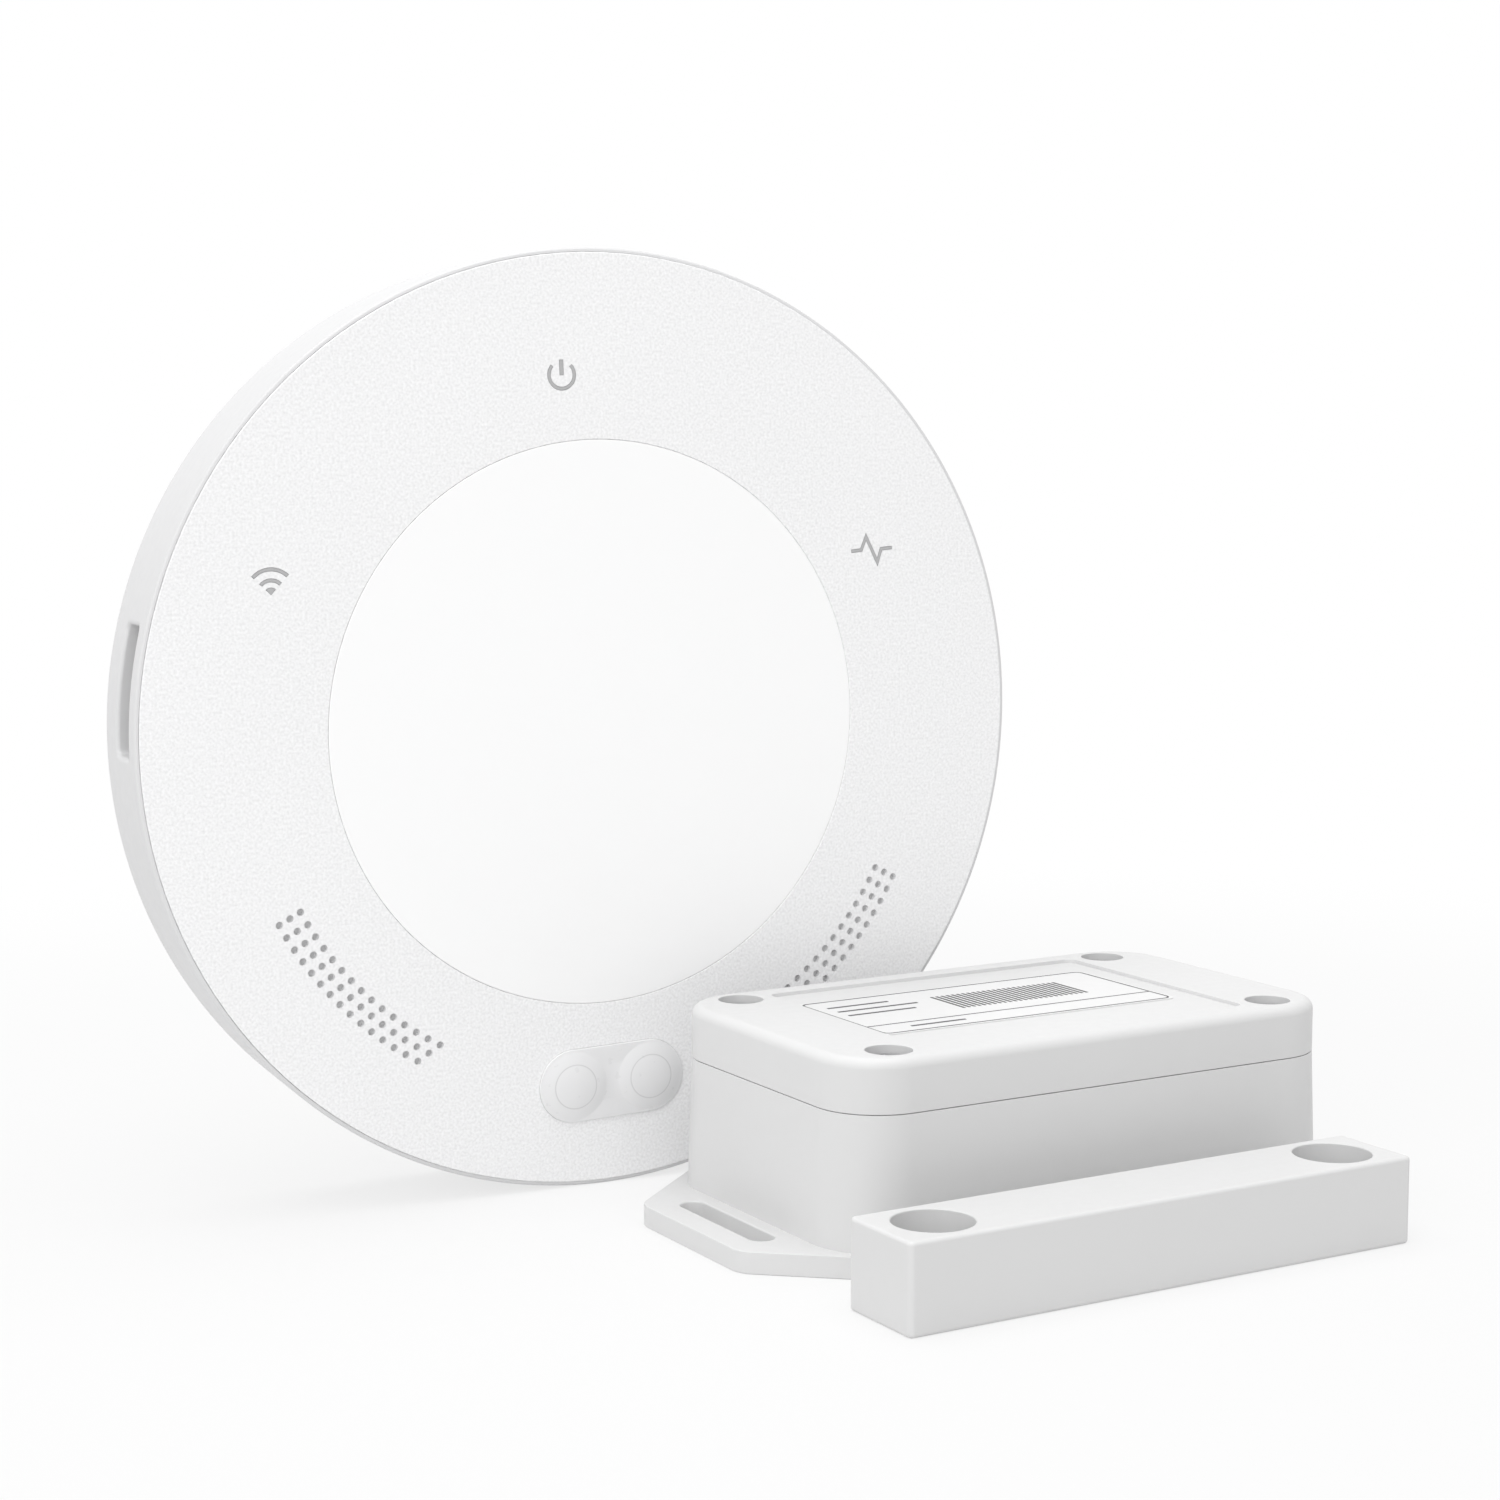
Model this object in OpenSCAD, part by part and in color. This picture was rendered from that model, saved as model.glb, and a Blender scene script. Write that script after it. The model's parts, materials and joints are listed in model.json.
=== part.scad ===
// Garage door controller: a round hub with a satin face ring, a flanged door sensor and the magnet
// bar that the door carries past it. Millimetres, +Z up. The hub stands on its rim and faces -Y.
// Origin: middle of the set's box, on the surface that it stands on.

/* [Layout] */
// Sensor's centre, to the right of the hub's axis
sensor_x = 45.3; // [30:0.1:80]
// Sensor's centre, measured from the hub's face (negative is in front)
sensor_y = -29.9; // [-60:0.1:-28]
// Magnet's centre, to the right of the hub's axis
magnet_x = 41.7; // [20:0.1:80]
// Magnet's centre, in front of the sensor's centre
magnet_ahead = 38.2; // [33:0.1:60]
// Turn of the sensor and the magnet about the vertical
set_yaw = 4.2; // [0:0.1:8]

/* [Hub body] */
// Largest radius of the rim
rim_r = 63.1; // [62:0.1:70]
// Amount by which the rim narrows towards its back
rim_taper = 0.4; // [0:0.1:1]
// Rim wall at the back edge
rim_wall = 2; // [1.4:0.1:2.6]
// Width of the rim's edge round the face ring
rim_lip = 0.5; // [0.4:0.1:1]
// Depth of the hub from its face to its back
hub_depth = 16.6; // [16:0.1:24]
// Thickness of the face ring and the centre cap
ring_t = 1.8; // [1.4:0.1:2.4]
// Thickness of the housing's front wall
front_wall = 1.6; // [1.2:0.1:2]
// Thickness of the rear cover
cover_t = 2; // [1.8:0.1:3]
// Radius of the centre cap
cap_r = 37.9; // [34:0.1:40]
// Bevel on the face edges of the ring and the cap
face_bevel = 0.1; // [0.05:0.05:0.4]

/* [Hub face] */
// Distance of the power mark from the axis
power_r = 46.7; // [45:0.1:50]
// Angle of the power mark
power_angle = 96.5; // [80:0.5:100]
// Distance of the radio mark from the axis
radio_r = 49.6; // [46:0.1:51]
// Angle of the radio mark
radio_angle = 155.9; // [145:0.1:157]
// Distance of the activity mark from the axis
pulse_r = 47; // [45:0.1:50]
// Angle of the activity mark
pulse_angle = 28.7; // [15:0.1:38]
// Width of the strokes of the marks
stroke = 0.4; // [0.3:0.05:0.6]
// Turn of the marks and the lens about the face's normal
face_roll = 2; // [-4:0.5:6]
// Distance of the warning lens from the axis
lens_r = 48.9; // [46:0.1:49.5]
// Angle of the warning lens
lens_angle = -88.5; // [-92:0.5:-86]
// Length of the warning lens
lens_l = 21; // [18:0.1:24]
// Width of the warning lens
lens_w = 9.9; // [8:0.1:11]
// Height of the lens's plate above the face
lens_proud = 0.3; // [0.1:0.05:0.6]
// Height of the lens's domes above its plate
dome_h = 0.8; // [0.5:0.1:2]
// Middle row of the sound holes, distance from the axis
grille_r = 49.3; // [46:0.1:50]
// Step between the rows of sound holes
row_step = 1.6; // [1.3:0.05:1.8]
// Step between the sound holes of a row
hole_step = 1.945; // [1.6:0.005:2.1]
// Sound holes in a row
hole_count = 15; // [11:1:16]
// Diameter of a sound hole
hole_d = 1; // [0.7:0.05:1.1]
// Thickness of the face ring at the sound holes
grille_skin = 0.8; // [0.6:0.1:1.2]
// Angle of the first sound holes below the horizontal
grille_start = 28; // [26:0.2:32]

/* [Hub port] */
// Length of the slot in the rim
port_l = 16.9; // [14:0.1:20]
// Width of the slot in the rim
port_w = 6.6; // [6.2:0.1:7.6]
// Height of the slot's middle above the hub's axis
port_rise = 6.4; // [3:0.1:9]
// Depth of the socket behind the slot
socket_deep = 8.5; // [7:0.1:10]

/* [Hub back] */
// Distance between the two keyholes
key_spacing = 60; // [50:1:70]
// Radius of a keyhole's round end
key_r = 4.2; // [3.5:0.1:4.6]
// Radius of a keyhole's narrow end
key_slot_r = 2.1; // [1.6:0.1:2.4]
// Distance from a keyhole's round end to its narrow end
key_run = 7; // [6:0.1:9]
// Radius of the reset button's stem
reset_r = 2.3; // [1.6:0.1:3]
// Travel of the reset button
reset_travel = 0.5; // [0.3:0.05:0.6]

/* [Hub inside] */
// Thickness of the main board
board_t = 1.6; // [1:0.1:1.8]
// Radius of the screw bosses
boss_r = 3.1; // [2.8:0.1:3.6]
// Thread radius of the cover screws
cover_screw_r = 1.25; // [1:0.05:1.4]
// Thread radius of the board screws
board_screw_r = 1.05; // [0.8:0.05:1.2]
// Radius of a speaker
speaker_r = 10; // [8:0.1:11]
// Thickness of a speaker
speaker_t = 5; // [3.6:0.1:5.6]
// Room between a speaker and the rim
speaker_room = 1.4; // [0.6:0.1:4]
// Radius of a warning light
led_r = 2.5; // [2:0.1:2.8]

/* [Sensor box] */
// Length of the box at the seam
box_l = 76.6; // [73:0.1:82]
// Width of the box at the seam
box_w = 46; // [45.4:0.1:54]
// Corner radius of the box at the seam
box_corner = 8.5; // [6.5:0.1:9.4]
// Amount by which each side of the base spreads towards its foot
box_draft = 0.7; // [0.3:0.1:1.4]
// Height of the base
base_h = 19.9; // [18:0.1:26]
// Height of the lid above the base
lid_h = 7; // [6.2:0.1:9]
// Gap between the base's rim and the lid's skirt
seam = 0.1; // [0.05:0.05:0.3]
// Wall of the base and the lid
box_wall = 2.2; // [1.9:0.1:2.4]
// Floor of the base
floor_t = 2.2; // [1.6:0.1:3]
// Top of the lid
lid_t = 2.2; // [1.8:0.1:2.8]
// Rounding of the lid's top edge
lid_round = 1.4; // [0.8:0.1:1.9]
// Distance between the lid screws along the box
screw_dx = 60.2; // [58.6:0.1:61]
// Distance between the lid screws across the box
screw_dy = 35.9; // [34.4:0.1:36]
// Radius of a screw well
well_r = 3; // [2.8:0.1:3.1]
// Depth of a screw well
well_deep = 2.6; // [2.5:0.1:4.2]
// Length of the label panel
panel_l = 50.6; // [48:0.1:53]
// Width of the label panel
panel_w = 38; // [26:0.1:39]
// Depth of the label panel
panel_deep = 0.5; // [0.2:0.05:0.8]
// Length of the label
label_l = 46.8; // [30:0.1:47]
// Width of the label
label_w = 21.8; // [12:0.1:24]
// Place of the label along its panel, from -1 at one end to 1 at the other
label_along = -0.84; // [-0.9:0.01:0.9]
// Place of the label across its panel, from -1 at one side to 1 at the other
label_across = 0.2; // [-0.9:0.01:0.9]

/* [Sensor flange] */
// Length over both flanges
flange_l = 96.6; // [94:0.1:110]
// Width of a flange at its end
flange_end_w = 25; // [24:0.1:32]
// Distance from the middle to where the flange's slant starts
flange_root = 35; // [30:0.1:37]
// Thickness of the flange
flange_t = 2.85; // [1.6:0.05:3.2]
// Rounding of the flange's corners
flange_round = 4; // [2:0.1:5]
// Place of a slot on its flange, as a share of the way from the box to the flange's end
slot_share = 0.4; // [0.3:0.01:0.7]
// Length of a slot
slot_l = 20.6; // [12:0.1:21]
// Width of a slot
slot_w = 3.4; // [2.6:0.1:4.2]

/* [Sensor inside] */
// Length of the sensor board
card_l = 50; // [48:0.1:51]
// Share of the box's inner width that the sensor board takes
card_share = 0.3654; // [0.34:0.0001:0.37]
// Thickness of the sensor board
card_t = 1.6; // [1:0.1:2]
// Height of the posts under the sensor board
post_h = 4; // [2.5:0.1:5]
// Share of the box's inner width that a battery cell takes
cell_share = 0.2524; // [0.21:0.0001:0.255]
// Length of a battery cell
cell_l = 44.5; // [40:0.1:46]
// Travel of the pairing button
pair_travel = 0.3; // [0.2:0.05:0.5]

/* [Magnet] */
// Length of the magnet's case
magnet_l = 76; // [73:0.1:90]
// Width of the magnet's case
magnet_w = 13; // [12:0.1:16]
// Height of the magnet's case
magnet_h = 11.3; // [10:0.1:14]
// Rounding of the case's edges
magnet_round = 0.5; // [0.2:0.1:0.8]
// Distance between the two screw holes
magnet_pitch = 61; // [58:0.1:62]
// Radius of the wide part of a screw hole
sink_r = 5; // [4:0.1:5.2]
// Radius of the narrow part of a screw hole
fix_r = 2.1; // [1.6:0.1:2.6]
// Material left under the wide part of a screw hole
sink_web = 3.2; // [2:0.1:4]
// Length of the bar magnet
bar_l = 44; // [30:0.5:46]
// Width of the bar magnet
bar_w = 8; // [5:0.1:8.4]
// Height of the bar magnet
bar_h = 7; // [4:0.1:7.2]

/* [Fits] */
// Gap round a piece that sits in an opening
fit_gap = 0.1; // [0.05:0.01:0.15]
// Gap round a screw's thread and a mark's strokes
thread_gap = 0.05; // [0.03:0.01:0.08]
// Room round a part that is dropped in or slides
slip = 0.3; // [0.2:0.05:0.4]

/* [Hidden] */

$fn = 64;
hull_fn = 32;
// Length by which a cut runs past the face that it opens
over = 0.2;
// Length by which a boss or post is sunk into the wall that it grows from
root = 0.3;
// Thickness of the slices that a slanting body is drawn between
slice = 0.01;

// Hub: depths are counted backwards from the face
d_in = ring_t + front_wall;
port_land = 0.225;
board_rise = port_w + 2 * port_land;
d_board = d_in + board_rise;
d_back = d_board + board_t;
d_cover = hub_depth - cover_t;
rim_back_r = rim_r - rim_taper;
rim_in = rim_back_r - rim_wall;
lip_in = rim_r - rim_lip;
lip_drop = 0.25;
rim_round = rim_lip - 0.1;
back_round = 0.9;
ring_r = lip_in - fit_gap;
boss_room = 0.6;
cover_boss_at = rim_in - boss_r - boss_room;
board_r = cover_boss_at - boss_r - boss_room;
board_boss_at = board_r - boss_r - 2.9;
cover_boss_angles = [60, 120, 240, 300];
board_boss_angles = [50, 130, 195, 345];
screw_bite = 5;
board_head_r = 2.3;
board_head_h = 1.3;
cover_head_r = 2.6;
cover_head_h = 1.1;
cover_screw_l = 8;
post_r = 2;
post_at = 30;
post_angles = [90, 210, 330];
post_past = 1.2;

// Face marks
mark_pad_r = 3.6;
mark_pad_t = 0.8;
mark_pipe_r = 2.2;
status_h = 1;
status_l = 3;
status_w = 2;
power_ring_r = 1.8;
power_gap = 48;
power_bar = 1.95;
power_bar_w = stroke + 0.1;
radio_arcs = [1.8, 3.2];
radio_dot = 0.85;
radio_foot = -1.7;
fan = 45;
pulse_line = [[-3.15, -0.1], [-1.6, 0], [-0.8, 1.8], [0.9, -1.8], [1.55, 0], [3.25, 0.1]];

// Warning lens and lights
lens_flange = 1.3;
lens_flange_t = 1;
lens_skin = 0.8;
dome_r = lens_w / 2 - 0.25;
dome_ball = (dome_r * dome_r + dome_h * dome_h) / (2 * dome_h);
dome_at = (lens_l - lens_w) / 2;
led_tip = ring_t - 0.1;
led_flange = 0.4;
led_flange_t = 1;

// Sound holes, their cloth and the speakers
grille_span = (hole_count - 1) * hole_step / grille_r * 180 / PI;
grille_mid = grille_start + grille_span / 2;
cloth_t = 0.5;
cloth_edge = 1.6;
cloth_half_w = row_step + hole_d / 2 + cloth_edge;
cloth_end_angle = 4;
cloth_half_a = grille_span / 2 + cloth_end_angle;
speaker_at = rim_in - speaker_r - speaker_room;
cone_step = 4;
cone_step_r = speaker_r - cone_step;
cone_t = speaker_t / 2;

// Socket behind the rim's slot
port_d = (d_in + d_board) / 2;
socket_wall = 0.8;
port_step = 0.35;
socket_l = 13;
socket_h = board_rise - fit_gap;
socket_half = port_l / 2 + socket_wall;
socket_front = sqrt(pow(rim_in, 2) - pow(port_rise + socket_half, 2)) - fit_gap;
cavity_l = port_l - 2 * port_step;
cavity_w = port_w - 2 * port_step;
pin_count = 4;
pin_w = 0.9;
pin_l = 2.5;

// Parts on the main board: [x, y] on the face plane
relay_size = [10, 19, board_rise - 0.55];
relay_step = 14;
relay_drop = 14;
relay_at = [for (i = [-1, 0, 1]) [i * relay_step, -relay_drop]];
module_size = [18, 25.5, 3.2];
module_at = [0, 12];
can_r = 4;
can_h = board_rise - 1;
can_at = [[-20, 8], [20, 8]];
antenna_w = 6;
antenna_t = 0.4;
antenna_from = 68;
antenna_turn = 44;

// Rear cover
key_y = 6;
reset_at = [0, -30];
reset_flange = 0.9;
reset_flange_t = 0.9;
reset_sunk = 0.2;
switch_side = 6;
reset_switch_h = d_cover - d_back - reset_flange_t - reset_travel - 2 * thread_gap;

// Sensor: heights are counted up from the floor
z_lid = base_h + seam;
z_top = base_h + lid_h;
z_seat = z_top - well_deep;
inner_l = box_l - 2 * box_wall;
inner_w = box_w - 2 * box_wall;
inner_corner = box_corner - box_wall;
card_w = card_share * inner_w;
cell_d = cell_share * inner_w;
box_foot = box_l / 2 + box_draft;
slot_at = box_foot + slot_share * (flange_l / 2 - box_foot);
flange_proud = 0.15;
flange_side = box_w / 2 + box_draft + flange_proud;
base_boss_r = 3.8;
lid_boss_r = 4.4;
lid_pad_r = 3.2;
lid_screw_r = 1.45;
lid_head_r = well_r - slip;
lid_head_h = 1.8;
lid_screw_l = 13;
seal_w = 1;
seal_deep = 0.8;
panel_round = 1.5;
label_t = 0.15;
label_round = 1.2;
label_at = [label_along * (panel_l - label_l) / 2, label_across * (panel_w - label_w) / 2];
card_edge = 0.6;
card_y = -(inner_w / 2 - card_edge - card_w / 2);
z_card = floor_t + post_h;
z_card_top = z_card + card_t;
card_post_r = 2.2;
card_post_at = [for (x = [-1, 1], y = [-1, 1])
    [x * (card_l / 2 - 3.5), card_y + y * (card_w / 2 - 2.6)]];
card_screw_r = 0.95;
card_screw_l = 4;
card_head_r = 2;
card_head_h = 1.2;
sensor_radio_size = [15, 9, 2.2];
sensor_radio_at = [-9.5, card_y + 2.2];
sensor_light_size = [3, 1.6, 1.1];
sensor_light_at = [15.5, card_y + 2.2];
reed_r = 1.1;
reed_l = 14;
reed_lead_r = 0.3;
reed_reach = 9.5;
reed_y = card_y - card_w / 2 + 2.2;
reed_up = 1.6;
pair_at = [8, card_y + 2.2];
pair_body_h = 3.2;
pair_r = 1.6;
pair_deep = 1.2;
pair_up = 1;
contact_t = 1.1;
contact_h = 8;
contact_w = 8;
tray_t = 1;
tray_wall = 0.8;
tray_end = 1.2;
tray_h = 7.5;
tray_in_l = cell_l + 2 * (contact_t + 2 * thread_gap);
cell_step = cell_d + slip;
tray_in_w = cell_step + cell_d + 2 * slip;
tray_l = tray_in_l + 2 * tray_end;
tray_w = tray_in_w + 2 * tray_wall;
tray_y = (card_y + card_w / 2 + inner_w / 2) / 2;

// Magnet
cover_plate_t = 1.3;
cover_ledge = 1;
bar_room = 0.1;

// Places of the three units, with the middle of the set's box at the origin
flange_corner = round_centre([flange_root, -flange_side], [flange_l / 2, -flange_end_w / 2],
    [flange_l / 2, flange_end_w / 2], flange_round);
magnet_y = sensor_y - magnet_ahead;
x_low = -rim_r;
x_high = sensor_x + flange_corner.x * cos(set_yaw) - flange_corner.y * sin(set_yaw) + flange_round;
y_high = hub_depth;
y_low = magnet_y - (magnet_l / 2 - magnet_round) * sin(set_yaw)
    - (magnet_w / 2 - magnet_round) * cos(set_yaw) - magnet_round;
middle = [(x_low + x_high) / 2, (y_low + y_high) / 2];

// Direction from a corner towards a point, of length one
function toward(p, q) = (q - p) / norm(q - p);
// Half of the angle at corner p between its sides to a and b
function half_angle(a, p, b) = acos(toward(p, a) * toward(p, b)) / 2;
// Centre of the arc of radius r that rounds corner p between points a and b
function round_centre(a, p, b, r) =
    p + toward([0, 0], toward(p, a) + toward(p, b)) * r / sin(half_angle(a, p, b));
// Points of that arc, from the side of a to the side of b
function round_arc(a, p, b, r, n = 10) =
    let (
        c = round_centre(a, p, b, r),
        reach = r / tan(half_angle(a, p, b)),
        from = p + toward(p, a) * reach - c,
        to = p + toward(p, b) * reach - c
    )
    [for (i = [0 : n]) c + r * toward([0, 0], from * (1 - i / n) + to * (i / n))];
// Direction square to the run from p to q, on its left
function across(p, q) = let (t = toward(p, q)) [-t.y, t.x];
// Point beside corner i of a line, at distance h from the runs that meet there
function beside(line, i, h) =
    let (
        a = across(line[max(i - 1, 0)], line[max(i, 1)]),
        b = across(line[min(i, len(line) - 2)], line[min(i + 1, len(line) - 1)]),
        m = toward([0, 0], a + b)
    )
    line[i] + m * h / (m * a);
// Points of an arc about c from angle a0 to angle a1
function arc(c, r, a0, a1, n = 8) =
    [for (i = [0 : n]) let (a = a0 + (a1 - a0) * i / n) c + r * [cos(a), sin(a)]];

module hub_place() {
    translate([-middle.x, -middle.y, rim_r]) rotate([90, 0, 0]) children();
}

module sensor_place() {
    translate([sensor_x - middle.x, sensor_y - middle.y, 0]) rotate(set_yaw) children();
}

module magnet_place() {
    translate([magnet_x - middle.x, magnet_y - middle.y, 0]) rotate(set_yaw) children();
}

// A flat shape of the hub's face, drawn out between two depths
module slab(d0, d1) {
    translate([0, 0, -d1]) linear_extrude(d1 - d0) children();
}

// A flat shape drawn out between two heights
module lift(z0, z1) {
    translate([0, 0, z0]) linear_extrude(z1 - z0) children();
}

module polar(r, a) {
    translate([r * cos(a), r * sin(a)]) children();
}

module at_each(points) {
    for (p = points) translate(p) children();
}

module ring_of(r, angles) {
    for (a = angles) polar(r, a) children();
}

module rounded(l, w, r) {
    square([l - 2 * r, w], center = true);
    square([l, w - 2 * r], center = true);
    for (x = [-1, 1], y = [-1, 1]) translate([x * (l / 2 - r), y * (w / 2 - r)]) circle(r);
}

module stadium(l, w) {
    square([l - w, w], center = true);
    for (x = [-1, 1]) translate([x * (l - w) / 2, 0]) circle(w / 2);
}

module annulus(r_out, r_in) {
    difference() {
        circle(r_out);
        circle(r_in);
    }
}

// A triangle that opens upwards from a point, by an angle on each side
module wedge(half, l) {
    polygon([[0, 0], [-l * tan(half), l], [l * tan(half), l]]);
}

// The part of a ring between two angles less than a half turn apart
module sector(r_in, r_out, mid, half) {
    intersection() {
        annulus(r_out, r_in);
        rotate(mid - 90) wedge(half, 2 * r_out);
    }
}

// A disc or ring with bevelled face edges, drawn about the axis
module face_disc(r_in, r_out) {
    bore = [[r_in, -ring_t], [r_in, -face_bevel], [r_in + face_bevel, 0]];
    axis = [[0, -ring_t], [0, 0]];
    outside = [[r_out - face_bevel, 0], [r_out, -face_bevel], [r_out, -ring_t]];
    rotate_extrude() polygon(concat(r_in > 0 ? bore : axis, outside));
}

module power_shape(grow) {
    half = stroke / 2 + grow;
    difference() {
        annulus(power_ring_r + half, power_ring_r - half);
        wedge(power_gap - asin(grow / power_ring_r), 2 * power_ring_r);
    }
    translate([0, power_bar / 2]) square([power_bar_w + 2 * grow, power_bar + 2 * grow], center = true);
}

module radio_shape(grow) {
    half = stroke / 2 + grow;
    translate([0, radio_foot]) {
        for (r = radio_arcs) sector(r - half, r + half, 90, fan + asin(grow / r));
        intersection() {
            circle(radio_dot + grow);
            translate([0, -grow / sin(fan)]) wedge(fan, 2);
        }
    }
}

module pulse_shape(grow) {
    half = stroke / 2 + grow;
    last = len(pulse_line) - 1;
    start = pulse_line[0] + grow * toward(pulse_line[1], pulse_line[0]);
    end = pulse_line[last] + grow * toward(pulse_line[last - 1], pulse_line[last]);
    line = concat([start], [for (i = [1 : last - 1]) pulse_line[i]], [end]);
    upper = [for (i = [0 : last]) beside(line, i, half)];
    lower = [for (i = [last : -1 : 0]) beside(line, i, -half)];
    polygon(concat(upper, lower));
}

module power_spot() polar(power_r, power_angle) rotate(face_roll) children();
module radio_spot() polar(radio_r, radio_angle) rotate(face_roll) children();
module pulse_spot() polar(pulse_r, pulse_angle) rotate(face_roll) children();
module lens_spot() polar(lens_r, lens_angle) rotate(face_roll) children();

// A mark's light guide behind its strokes: a pad under the face ring and a pipe down to its light
module light_guide() {
    slab(ring_t, ring_t + mark_pad_t) circle(mark_pad_r);
    slab(ring_t + mark_pad_t, d_board - status_h - fit_gap) circle(mark_pipe_r);
}

module grille_rows() {
    for (row = [-1, 0, 1]) {
        r = grille_r + row * row_step;
        for (i = [0 : hole_count - 1])
            polar(r, -grille_start - i * hole_step / r * 180 / PI) circle(hole_d / 2, $fn = 24);
    }
}

module grille_field(grow) {
    sector(grille_r - cloth_half_w - grow, grille_r + cloth_half_w + grow, -grille_mid,
        cloth_half_a + grow / grille_r * 180 / PI);
}

module left_side() {
    mirror([1, 0, 0]) children();
}

module speaker_shape() {
    polar(speaker_at, -grille_mid) {
        slab(d_in, d_in + cone_t) circle(speaker_r);
        slab(d_in + cone_t, d_in + speaker_t) circle(cone_step_r);
    }
}

module key_shape() {
    for (x = [-1, 1]) translate([x * key_spacing / 2, key_y]) {
        circle(key_r);
        translate([-key_slot_r, 0]) square([2 * key_slot_r, key_run]);
        translate([0, key_run]) circle(key_slot_r);
    }
}

module rim_shell() {
    rotate_extrude() polygon(concat(
        [[lip_in, -lip_drop]],
        arc([rim_r - rim_round, -lip_drop - rim_round], rim_round, 90, 0),
        arc([rim_back_r - back_round, -hub_depth + back_round], back_round, 0, -90),
        [[rim_in, -hub_depth], [rim_in, -d_in], [0, -d_in], [0, -ring_t], [lip_in, -ring_t]]));
}

module rim_housing() {
    color("whitesmoke") hub_place() difference() {
        union() {
            rim_shell();
            slab(d_in - root, d_board) ring_of(board_boss_at, board_boss_angles) circle(boss_r);
            slab(d_in - root, d_cover) ring_of(cover_boss_at, cover_boss_angles) circle(boss_r);
        }
        slab(d_board - screw_bite - slip, d_board + over)
            ring_of(board_boss_at, board_boss_angles) circle(board_screw_r + thread_gap);
        slab(hub_depth - cover_head_h - cover_screw_l - slip, d_cover + over)
            ring_of(cover_boss_at, cover_boss_angles) circle(cover_screw_r + thread_gap);
        slab(ring_t - over, d_in + over) {
            lens_spot() stadium(lens_l + 2 * (lens_flange + fit_gap), lens_w + 2 * (lens_flange + fit_gap));
            power_spot() circle(mark_pad_r + fit_gap);
            radio_spot() circle(mark_pad_r + fit_gap);
            pulse_spot() circle(mark_pad_r + fit_gap);
            ring_of(post_at, post_angles) circle(post_r + fit_gap);
            grille_field(fit_gap);
            left_side() grille_field(fit_gap);
        }
        translate([-rim_r - over, port_rise - port_l / 2, -port_d - port_w / 2])
            cube([rim_r + over - socket_front, port_l, port_w]);
    }
}

module face_ring() {
    color("gainsboro") hub_place() difference() {
        face_disc(cap_r + fit_gap, ring_r);
        slab(-over, ring_t + over) {
            power_spot() power_shape(thread_gap);
            radio_spot() radio_shape(thread_gap);
            pulse_spot() pulse_shape(thread_gap);
            lens_spot() stadium(lens_l + 2 * fit_gap, lens_w + 2 * fit_gap);
            grille_rows();
            left_side() grille_rows();
        }
        slab(grille_skin, ring_t + over) {
            grille_field(fit_gap);
            left_side() grille_field(fit_gap);
        }
    }
}

module center_cap() {
    color("white") hub_place() {
        face_disc(0, cap_r);
        slab(ring_t - root, d_in + post_past) ring_of(post_at, post_angles) circle(post_r);
    }
}

module power_mark() {
    color("darkgray") hub_place() power_spot() {
        slab(0, ring_t) power_shape(0);
        light_guide();
    }
}

module radio_mark() {
    color("darkgray") hub_place() radio_spot() {
        slab(0, ring_t) radio_shape(0);
        light_guide();
    }
}

module activity_mark() {
    color("darkgray") hub_place() pulse_spot() {
        slab(0, ring_t) pulse_shape(0);
        light_guide();
    }
}

module warning_lens() {
    color("lightgray") hub_place() lens_spot() difference() {
        union() {
            slab(-lens_proud, ring_t) stadium(lens_l, lens_w);
            slab(ring_t, ring_t + lens_flange_t)
                stadium(lens_l + 2 * lens_flange, lens_w + 2 * lens_flange);
            for (x = [-1, 1]) translate([x * dome_at, 0]) intersection() {
                translate([0, 0, lens_proud + dome_h - dome_ball]) sphere(dome_ball);
                slab(-lens_proud - dome_h - over, -lens_proud + root) circle(dome_r);
            }
        }
        slab(lens_skin, ring_t + lens_flange_t + over)
            for (x = [-1, 1]) translate([x * dome_at, 0]) circle(led_r + led_flange + slip);
    }
}

module warning_lights() {
    color("silver") hub_place() lens_spot() for (x = [-1, 1]) translate([x * dome_at, 0]) {
        slab(led_tip + led_r, d_board) circle(led_r);
        slab(d_board - led_flange_t, d_board) circle(led_r + led_flange);
        translate([0, 0, -led_tip - led_r]) sphere(led_r);
    }
}

module grille_cloth() {
    slab(grille_skin, grille_skin + cloth_t) grille_field(0);
}

module left_grille_cloth() {
    color("darkgray") hub_place() left_side() grille_cloth();
}

module right_grille_cloth() {
    color("darkgray") hub_place() grille_cloth();
}

module left_speaker() {
    color("dimgray") hub_place() left_side() speaker_shape();
}

module right_speaker() {
    color("dimgray") hub_place() speaker_shape();
}

module main_board() {
    color("seagreen") hub_place() slab(d_board, d_back) difference() {
        circle(board_r);
        ring_of(board_boss_at, board_boss_angles) circle(board_screw_r + slip);
    }
}

module board_screws() {
    color("silver") hub_place() {
        slab(d_back, d_back + board_head_h) ring_of(board_boss_at, board_boss_angles) circle(board_head_r);
        slab(d_board - screw_bite, d_back + root)
            ring_of(board_boss_at, board_boss_angles) circle(board_screw_r);
    }
}

module status_lights() {
    color("ivory") hub_place() slab(d_board - status_h, d_board) {
        power_spot() square([status_l, status_w], center = true);
        radio_spot() square([status_l, status_w], center = true);
        pulse_spot() square([status_l, status_w], center = true);
    }
}

module radio_module() {
    color("silver") hub_place() slab(d_board - module_size.z, d_board)
        translate(module_at) square([module_size.x, module_size.y], center = true);
}

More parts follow.
